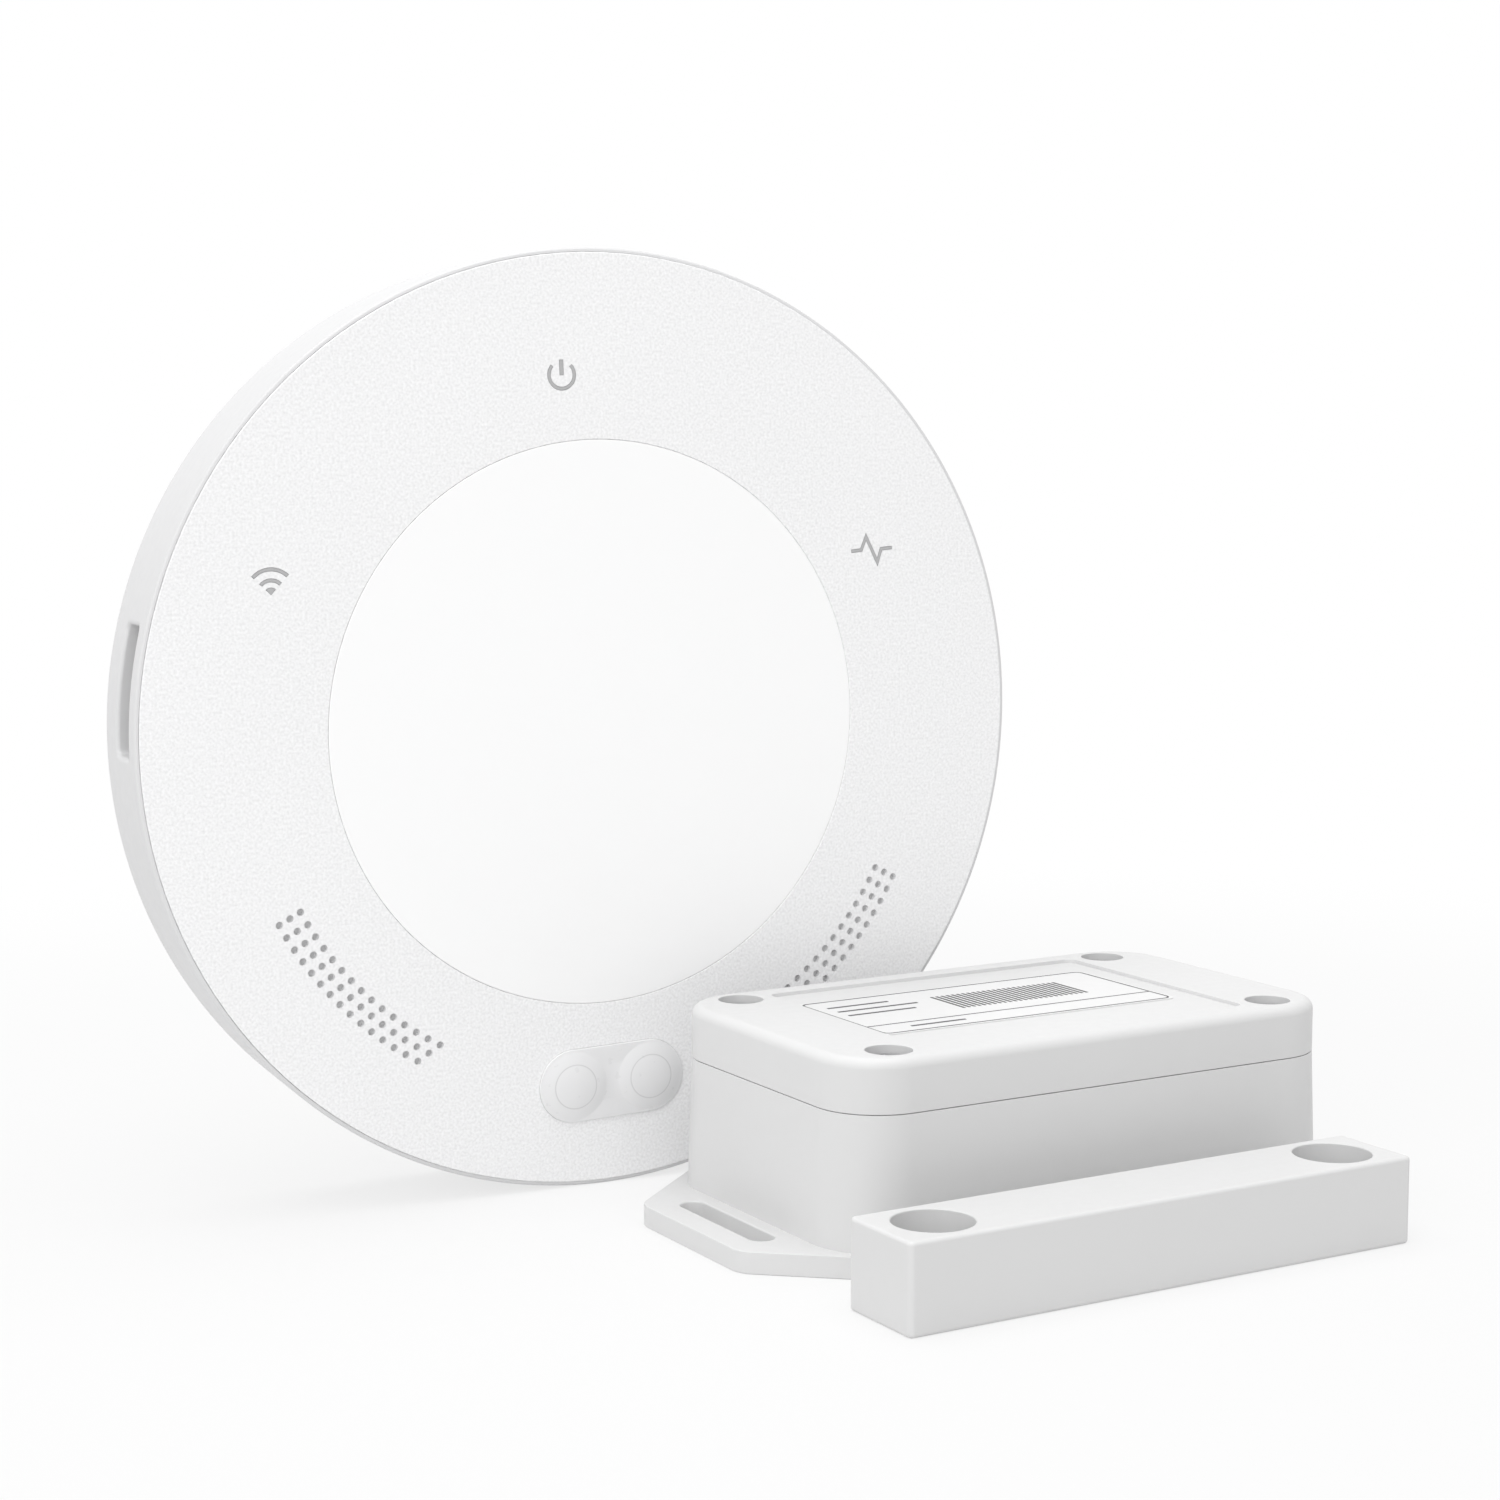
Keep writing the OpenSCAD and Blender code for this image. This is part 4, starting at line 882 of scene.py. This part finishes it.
class CONTROLLER_OT_back(bpy.types.Operator):
    """Builds the hub's rear cover with its keyholes, its screws and the reset button"""
    bl_idname = "controller.back"
    bl_label = "Hub back"

    def execute(self, context):
        shell = Shell()
        front, back = -depth("rear_cover"), -depth("rear_cover", 1)
        plate = circle(span("rear_cover").x / 2, n=300)
        edge, head_h = 0.25 * MM, 1.1 * MM
        press_r, sink_r, bore_r = 2.4 * MM, 2.9 * MM, 1.55 * MM
        seat = back + head_h
        # Keyhole: most of a wide circle and, above it, a slit with a half turn at its end
        big, narrow, run = 4.2 * MM, 2.1 * MM, 7 * MM
        key_x, key_z = 30 * MM, 6 * MM
        top, low = np.radians(np.linspace(0, 180, 25)), np.radians(np.linspace(120, 420, 49))
        key = np.concatenate([[[narrow, big * math.cos(math.radians(30))]], [0, run] + narrow * ray(top),
                              big * ray(low[:-1])])
        keys = [key + [x * key_x, key_z] for x in (-1, 1)]
        reset = hub_spot("reset_button")
        press = circle(press_r, reset, 64)
        sinks, bores = circles(sink_r, COVER_SCREWS, 64), circles(bore_r, COVER_SCREWS, 40)
        shell.sweep(plate, np.r_[[(0, front)], bend(-edge, back + edge, edge, 0, -90)])
        mouths = [shell.hole(loop, back, edge, front) for loop in [*keys, press]]
        mouths += [shell.screw_hole(sink, bore, back, edge, seat, front)
                   for sink, bore in zip(sinks, bores)]
        shell.flat(back, grow(plate, -edge), *mouths)
        shell.flat(front, plate, *keys, press, *bores)
        shell.piece("hub_back_cover", on_hub, "housing_white", replaces=["rear_cover"])

        def from_back(points):
            """Places of the frame for points that stand on the screws' seat and face backwards."""
            return on_hub(points * [1, 1, -1] + [0, 0, seat])

        screws = Shell()
        for at in COVER_SCREWS:
            screw(screws, at, 0, head_r=2.6 * MM, head_h=head_h, crown=0.18 * MM, shank_r=1.25 * MM,
                  length=8 * MM)
        screws.piece("hub_back_screws", from_back, "screw_steel", replaces=["cover_screws"])

        # Button: a collar, a straight stem with a rounded edge and a shallow dish on its end
        button = Shell()
        near, far = depth("reset_button"), depth("reset_button", 1)
        collar_r, collar_h, stem_r, soft, dish = 3.2 * MM, 0.9 * MM, 2.3 * MM, 0.2 * MM, 0.25 * MM
        part = np.linspace(0, 1, 9)[1:]
        bow = part * np.pi / 2
        radii = np.r_[0, collar_r, collar_r, stem_r, stem_r, stem_r - soft * (1 - np.cos(bow)),
                      (stem_r - soft) * (1 - part)]
        down = np.r_[near, near, near + collar_h, near + collar_h, far - soft,
                     far - soft * (1 - np.sin(bow)), far - dish * part ** 0.7]
        button.grid(turned(radii, down, turns(64)) + [*reset, 0])
        button.piece("hub_reset_button", on_hub, "button_grey", body="reset_button",
                     replaces=["reset_button"])
        return {"FINISHED"}


class CONTROLLER_OT_hub_inside(bpy.types.Operator):
    """Dresses the boards, speakers and other pieces inside the hub"""
    bl_idname = "controller.hub_inside"
    bl_label = "Hub inside"

    def execute(self, context):
        dress("left_grille_cloth", "right_grille_cloth", "left_speaker", "right_speaker", "main_board",
              "board_screws", "status_lights", "radio_module", "radio_antenna", "door_relays",
              "supply_capacitors", "side_socket", "socket_pins", "reset_switch")
        return {"FINISHED"}


# Sensor: places on it and sizes of its inside

LID_SCREWS = [(x * 30.1 * MM, y * 17.95 * MM) for x in (-1, 1) for y in (-1, 1)]
BOARD_POSTS = [(x * 21.5 * MM, -12.6 * MM + y * 5 * MM) for x in (-1, 1) for y in (-1, 1)]
BASE_BOSS_R, LID_BOSS_R, LID_PAD_R = 3.8 * MM, 4.4 * MM, 3.2 * MM
BASE_BORE_R, LID_HOLE_R, BORE_SPARE = 1.5 * MM, 1.75 * MM, 0.3 * MM
GROOVE_FROM, GROOVE_TO, GROOVE_DEEP = 0.5 * MM, 1.7 * MM, 0.8 * MM
POST_OUT_R, POST_BORE_R, POST_BORE_DEEP = 2.2 * MM, 1 * MM, 2.7 * MM


def room(p, boss_r):
    """Outline of the box's inside: a rounded rectangle whose points within a screw boss are moved onto the
    boss's circle, on the side that faces the middle."""
    step = 0.4 * MM
    loop = rounded(p.box_l - 2 * p.wall, p.box_w - 2 * p.wall, p.box_corner - p.wall, n=40)
    ring = np.concatenate([loop, loop[:1]])
    run = np.r_[0, np.cumsum(np.linalg.norm(np.diff(ring, axis=0), axis=1))]
    even = np.linspace(0, run[-1], int(run[-1] / step), endpoint=False)
    loop = np.stack([np.interp(even, run, ring[:, 0]), np.interp(even, run, ring[:, 1])], axis=1)
    for at in LID_SCREWS:
        off = loop - at
        inside = np.linalg.norm(off, axis=1) < boss_r
        facing = math.atan2(-at[1], -at[0])
        swing = (np.arctan2(off[inside, 1], off[inside, 0]) - facing + np.pi) % (2 * np.pi) - np.pi
        loop[inside] = at + boss_r * ray(facing + np.linspace(swing[0], swing[-1], inside.sum()))
    return loop


def flange_outline(p):
    """Outline of the flange: a long plate whose sides slant in to its ends, with arcs at its corners."""
    shoulder, ledge, radius = 35 * MM, 0.15 * MM, 4 * MM
    side = np.array([shoulder, p.box_w / 2 + p.draft + ledge])
    tip = np.array([p.flange_l / 2, p.flange_end_w / 2])
    slant = (side - tip) / np.linalg.norm(side - tip)
    half = math.acos(-slant[1]) / 2
    middle_way = slant + [0, -1]
    centre = tip + middle_way / np.linalg.norm(middle_way) * radius / math.sin(half)
    arc = centre + radius * ray(np.linspace(math.atan2(-slant[0], slant[1]), 0, 13))
    quarter = np.concatenate([[side], arc])[::-1]
    upper = np.concatenate([quarter, quarter[::-1] * [-1, 1]])
    return np.concatenate([upper, -upper])


class CONTROLLER_OT_sensor_base(bpy.types.Operator):
    """Builds the sensor's base with its flanges and slots"""
    bl_idname = "controller.sensor_base"
    bl_label = "Sensor base"

    def execute(self, context):
        p = context.scene.controller_sensor
        shell = Shell()
        top, floor, board = span("sensor_base").z, foot_of("battery_holder"), foot_of("sensor_board")
        seam = rounded(p.box_l, p.box_w, p.box_corner)
        edge, hem, slot_edge = 0.1 * MM, 0.12 * MM, 0.24 * MM

        def spread(z):
            """Shift of the box's side at a height, from the seam's outline."""
            return p.draft * (1 - z / top)

        wall = [(spread(z), z) for z in np.linspace(p.flange_t, top - edge, 6)]
        shell.sweep(seam, np.r_[wall, bend(spread(top - edge) - edge, top - edge, edge, 0, 90)[1:]])
        plate = flange_outline(p)
        box_end, slot_share = p.box_l / 2 + p.draft, 0.4
        slot_x = box_end + slot_share * (p.flange_l / 2 - box_end)
        slots = [rolled(stadium(p.slot_l, p.slot_w), np.pi / 2) + [x * slot_x, 0] for x in (-1, 1)]
        shell.sweep(plate, np.r_[[(-hem, 0), (0, hem)], bend(-hem, p.flange_t - hem, hem, 0, 90)])
        mouths = [shell.hole(slot, p.flange_t, slot_edge, 0) for slot in slots]
        shell.flat(p.flange_t, grow(plate, -hem), grow(seam, spread(p.flange_t)), *mouths)
        shell.flat(0, grow(plate, -hem), *slots)

        # Inside: groove of the seal, bores of the lid screws and posts of the board
        hollow, bores = room(p, BASE_BOSS_R), circles(BASE_BORE_R, LID_SCREWS, 32)
        groove_out, groove_in = grow(seam, -GROOVE_FROM), grow(seam, -GROOVE_TO)
        groove_z = top - GROOVE_DEEP
        shell.flat(top, grow(seam, spread(top - edge) - edge), groove_out)
        shell.wall(groove_out, top, groove_z)
        shell.flat(groove_z, groove_out, groove_in)
        shell.wall(groove_in, groove_z, top)
        shell.flat(top, groove_in, hollow, *bores)
        for bore in bores:
            shell.pit(bore, top, foot_of("lid_screws") - BORE_SPARE)
        shell.wall(hollow, top, floor)
        feet = [shell.boss(at, floor, board, POST_OUT_R, POST_BORE_R, board - POST_BORE_DEEP)
                for at in BOARD_POSTS]
        shell.flat(floor, hollow, *feet)
        shell.piece("sensor_case", on_unit(SENSOR), "sensor_white", replaces=["sensor_base"])
        return {"FINISHED"}


class CONTROLLER_OT_sensor_lid(bpy.types.Operator):
    """Builds the sensor's lid with its screw wells and label panel, and the screws in the wells"""
    bl_idname = "controller.sensor_lid"
    bl_label = "Sensor lid"

    def execute(self, context):
        p = context.scene.controller_sensor
        shell = Shell()
        low, top, skirt = foot_of("sensor_lid"), top_of("sensor_lid"), top_of("lid_seal")
        head_h, panel_corner = 1.8 * MM, 1.5 * MM
        seat, panel_z, ceiling = top_of("lid_screws") - head_h, foot_of("lid_label"), top - p.wall
        seam = rounded(p.box_l, p.box_w, p.box_corner, n=20)
        r, foot_edge, panel_edge, well_edge = p.lid_round, 0.08 * MM, 0.06 * MM, 0.09 * MM
        shell.sweep(seam, np.r_[bend(-foot_edge, skirt + foot_edge, foot_edge, -90, 0),
                                bend(-r, top - r, r, 0, 90, 11)])
        panel = rounded(p.panel_l, p.panel_w, panel_corner)
        wells, holes = circles(p.well_r, LID_SCREWS, 56), circles(LID_HOLE_R, LID_SCREWS, 32)
        mouths = [shell.hole(panel, top, panel_edge, panel_z)]
        mouths += [shell.screw_hole(well, hole, top, well_edge, seat, low)
                   for well, hole in zip(wells, holes)]
        shell.flat(panel_z, panel)
        shell.flat(top, grow(seam, -r), *mouths)

        # Underside: the hollow between the screw bosses, and a small pad under each boss
        hollow, pads = room(p, LID_BOSS_R), circles(LID_PAD_R, LID_SCREWS, 40)
        shell.pit(hollow, skirt, ceiling)
        shell.flat(skirt, grow(seam, -foot_edge), hollow, *pads)
        for pad, hole in zip(pads, holes):
            shell.wall(pad, skirt, low)
            shell.flat(low, pad, hole)
        shell.piece("sensor_top", on_unit(SENSOR), "sensor_white", replaces=["sensor_lid"])

        screws = Shell()
        for at in LID_SCREWS:
            screw(screws, at, seat, head_r=2.7 * MM, head_h=head_h, crown=0.3 * MM, shank_r=1.45 * MM,
                  length=13 * MM)
        screws.piece("sensor_screws", on_unit(SENSOR), "screw_steel", replaces=["lid_screws"])
        return {"FINISHED"}


class CONTROLLER_OT_label(bpy.types.Operator):
    """Prints plain rules on the sensor's label"""
    bl_idname = "controller.label"
    bl_label = "Label"

    def execute(self, context):
        dress("lid_label")
        shell = Shell()
        face, thick = top_of("lid_label"), 0.02 * MM

        def stamp(*loops):
            """Lays a film of ink inside an outline and outside its hole."""
            for height in (face, face + thick):
                shell.flat(height, *loops)
            for loop in loops:
                shell.wall(loop, face, face + thick)

        # Layout in millimetres from the middle of the label's frame
        at = np.array([-1.6, 1.6]) * MM
        length, width, corner, line = 46, 21, 1.2, 0.28
        rule_y, bar_from, bar_pitch, bar_count = -5.7, -5, 0.84, 25
        bar_y, bar_l, bar_w, stroke = 2, 8, 0.42, 0.55
        strokes = (-21, 6.6, 9.5), (-21, 4, 12.5), (-21, 1.4, 10.5), (-17.5, -8, 8.5)
        rules = [(0, rule_y, length - 2 * line, line)]
        rules += [(bar_from + bar_pitch * i, bar_y, bar_w, bar_l) for i in range(bar_count)]
        rules += [(start + run / 2, y, run, stroke) for start, y, run in strokes]
        edge = rounded(length * MM, width * MM, corner * MM, at)
        stamp(edge, grow(edge, -line * MM))
        for x, y, l, w in rules:
            stamp(rounded(l * MM, w * MM, 0.2 * min(l, w) * MM, at + [x * MM, y * MM], 3))
        shell.piece("sensor_label_rules", on_unit(SENSOR), "label_white", look="ink")
        return {"FINISHED"}


class CONTROLLER_OT_sensor_inside(bpy.types.Operator):
    """Dresses the board, cells and other pieces inside the sensor"""
    bl_idname = "controller.sensor_inside"
    bl_label = "Sensor inside"

    def execute(self, context):
        dress("lid_seal", "sensor_board", "sensor_board_screws", "sensor_radio", "sensor_light",
              "reed_switch", "pair_switch", "pair_button", "battery_holder", "battery_contacts",
              "battery_cells")
        return {"FINISHED"}


# Magnet: its bore, and the recess of the cover and the pocket of the bar

MAGNET_BORE_R = 2.1 * MM
RECESS_L, RECESS_W, POCKET_L, POCKET_W = 46 * MM, 10 * MM, 44.2 * MM, 8.2 * MM


class CONTROLLER_OT_magnet(bpy.types.Operator):
    """Builds the magnet's case with its two sunk screw holes and dresses the bar inside"""
    bl_idname = "controller.magnet"
    bl_label = "Magnet bar"

    def execute(self, context):
        p = context.scene.controller_magnet
        shell = Shell()
        top, ledge, roof = span("magnet_case").z, top_of("magnet_cover"), top_of("bar_magnet") + FIT
        web, soft, corner = 3.2 * MM, 0.2 * MM, 0.3 * MM
        body = rounded(p.length, p.width, p.edge + corner, n=10)
        shell.sweep(body, np.r_[bend(-p.edge, p.edge, p.edge, -90, 0, 7),
                                bend(-p.edge, top - p.edge, p.edge, 0, 90, 7)])
        spots = [(x * p.pitch / 2, 0) for x in (-1, 1)]
        sinks, bores = circles(p.sink_r, spots, 88), circles(MAGNET_BORE_R, spots, 48)
        mouths = [shell.screw_hole(sink, bore, top, soft, web, 0) for sink, bore in zip(sinks, bores)]
        shell.flat(top, grow(body, -p.edge), *mouths)
        recess = rounded(RECESS_L, RECESS_W, corner, n=4)
        pocket = rounded(POCKET_L, POCKET_W, corner, n=4)
        shell.flat(0, grow(body, -p.edge), recess, *bores)
        shell.wall(recess, 0, ledge)
        shell.flat(ledge, recess, pocket)
        shell.pit(pocket, ledge, roof)
        shell.piece("magnet_bar_case", on_unit(MAGNET), "sensor_white", body="magnet",
                    replaces=["magnet_case"])
        dress("bar_magnet", "magnet_cover")
        return {"FINISHED"}


# Stage

FLOOR_REACH, FLOOR_TONE = 6.0, 0.74
WHITE_SHARE = 0.74                  # Share of plain white in the floor as the camera sees it near the part
WHITE_FROM, WHITE_ALL = 0.13, 0.32  # Distances between which that share grows to the whole
TOP_LAMP, TOP_SIZE = (-0.1, -0.05, 1.0), 1.1
SIDE_LAMP, SIDE_SIZE = (-0.69, -0.62, 0.42), 0.7
LAMP_AIM = Vector((0, 0, 0.04))
EYE_AT = Vector((-167.145, -321.540, 103.43)) * MM
EYE_DOWN, EYE_TURN = 6.537, -26.296
FILM_W, CLIP_NEAR, CLIP_FAR = 36, 0.01, 20


class CONTROLLER_OT_stage(bpy.types.Operator):
    """Sets the floor, the soft lamps, the white surroundings and the camera"""
    bl_idname = "controller.stage"
    bl_label = "Stage"

    def execute(self, context):
        scene = context.scene
        p = scene.controller_stage
        scene.view_settings.view_transform = "Standard"

        corners = [(x * FLOOR_REACH, y * FLOOR_REACH, 0) for x, y in ((-1, -1), (1, -1), (1, 1), (-1, 1))]
        mesh = bpy.data.meshes.new("floor")
        mesh.from_pydata(corners, [], [(0, 1, 2, 3)])
        floor = bpy.data.objects.new("floor", mesh)
        scene.collection.objects.link(floor)
        material, tree, shader = new_material("floor_white")
        shader.inputs["Base Color"].default_value = rgba([FLOOR_TONE] * 3)
        shader.inputs["Roughness"].default_value = 0.9
        shader.inputs["Specular IOR Level"].default_value = 0.1
        far = add(tree, "ShaderNodeVectorMath", [(0, spot_of(tree))], operation="LENGTH").outputs["Value"]
        fade = add(tree, "ShaderNodeMapRange", [("Value", far), ("From Min", WHITE_FROM),
                                                ("From Max", WHITE_ALL)], interpolation_type="SMOOTHSTEP")
        lift = add(tree, "ShaderNodeMapRange", [("Value", fade.outputs[0]), ("To Min", WHITE_SHARE)])
        part = calc(tree, "MULTIPLY", seen_directly(tree), lift.outputs[0])
        white = add(tree, "ShaderNodeEmission")
        blend = add(tree, "ShaderNodeMixShader", [(0, part), (1, shader.outputs[0]), (2, white.outputs[0])])
        tree.links.new(blend.outputs[0], tree.nodes["Material Output"].inputs["Surface"])
        mesh.materials.append(material)

        world = bpy.data.worlds.new("studio")
        world.use_nodes = True
        scene.world = world
        tree = world.node_tree
        plain = tree.nodes["Background"]
        plain.inputs["Color"].default_value = rgba((1, 1, 1))
        plain.inputs["Strength"].default_value = p.ambient
        bright = add(tree, "ShaderNodeBackground", [("Color", rgba((1, 1, 1))), ("Strength", 1.0)])
        blend = add(tree, "ShaderNodeMixShader", [(0, seen_directly(tree)), (1, plain.outputs[0]),
                                                  (2, bright.outputs[0])])
        tree.links.new(blend.outputs[0], tree.nodes["World Output"].inputs["Surface"])

        for name, power, spread, at in (("top_lamp", p.top, TOP_SIZE, TOP_LAMP),
                                        ("side_lamp", p.side, SIDE_SIZE, SIDE_LAMP)):
            light = bpy.data.lights.new(name, "AREA")
            light.energy, light.size = power, spread
            lamp = bpy.data.objects.new(name, light)
            lamp.location = at
            lamp.rotation_euler = (LAMP_AIM - Vector(at)).to_track_quat("-Z", "Y").to_euler()
            scene.collection.objects.link(lamp)

        eye = bpy.data.cameras.new("camera")
        eye.lens, eye.sensor_width = p.lens, FILM_W
        eye.clip_start, eye.clip_end = CLIP_NEAR, CLIP_FAR
        camera = bpy.data.objects.new("camera", eye)
        camera.location = EYE_AT
        camera.rotation_euler = (math.radians(90 - EYE_DOWN), 0, math.radians(EYE_TURN))
        scene.collection.objects.link(camera)
        scene.camera = camera
        return {"FINISHED"}


STEPS = (CONTROLLER_OT_stage, CONTROLLER_OT_rim, CONTROLLER_OT_face, CONTROLLER_OT_lens, CONTROLLER_OT_back,
         CONTROLLER_OT_hub_inside, CONTROLLER_OT_sensor_base, CONTROLLER_OT_sensor_lid, CONTROLLER_OT_label,
         CONTROLLER_OT_sensor_inside, CONTROLLER_OT_magnet)
SETTINGS = {"controller_hub": HubSizes, "controller_sensor": SensorSizes, "controller_magnet": MagnetSizes,
            "controller_colours": FinishColours, "controller_stage": StageSettings}


class CONTROLLER_PT_panel(bpy.types.Panel):
    """Lists the sizes, the colours and the steps that build the controller"""
    bl_label = "Garage door controller"
    bl_idname = "CONTROLLER_PT_panel"
    bl_space_type = "VIEW_3D"
    bl_region_type = "UI"
    bl_category = "Controller"

    def draw(self, context):
        for step in STEPS:
            self.layout.operator(step.bl_idname)
        for name, group in SETTINGS.items():
            column = self.layout.column(heading=group.__doc__)
            for field in group.__annotations__:
                column.prop(getattr(context.scene, name), field)


def register():
    """Adds the settings, the steps and the panel."""
    for kind in (*SETTINGS.values(), *STEPS, CONTROLLER_PT_panel):
        bpy.utils.register_class(kind)
    for name, group in SETTINGS.items():
        setattr(bpy.types.Scene, name, PointerProperty(type=group))


def unregister():
    """Takes the panel, the steps and the settings away again."""
    for name in SETTINGS:
        delattr(bpy.types.Scene, name)
    for kind in (CONTROLLER_PT_panel, *reversed(STEPS), *SETTINGS.values()):
        bpy.utils.unregister_class(kind)


def main():
    """Registers the add-on, builds every piece in order and writes both boxes."""
    register()
    for step in STEPS:
        group, name = step.bl_idname.split(".")
        getattr(getattr(bpy.ops, group), name)()


if __name__ == "__main__":
    main()
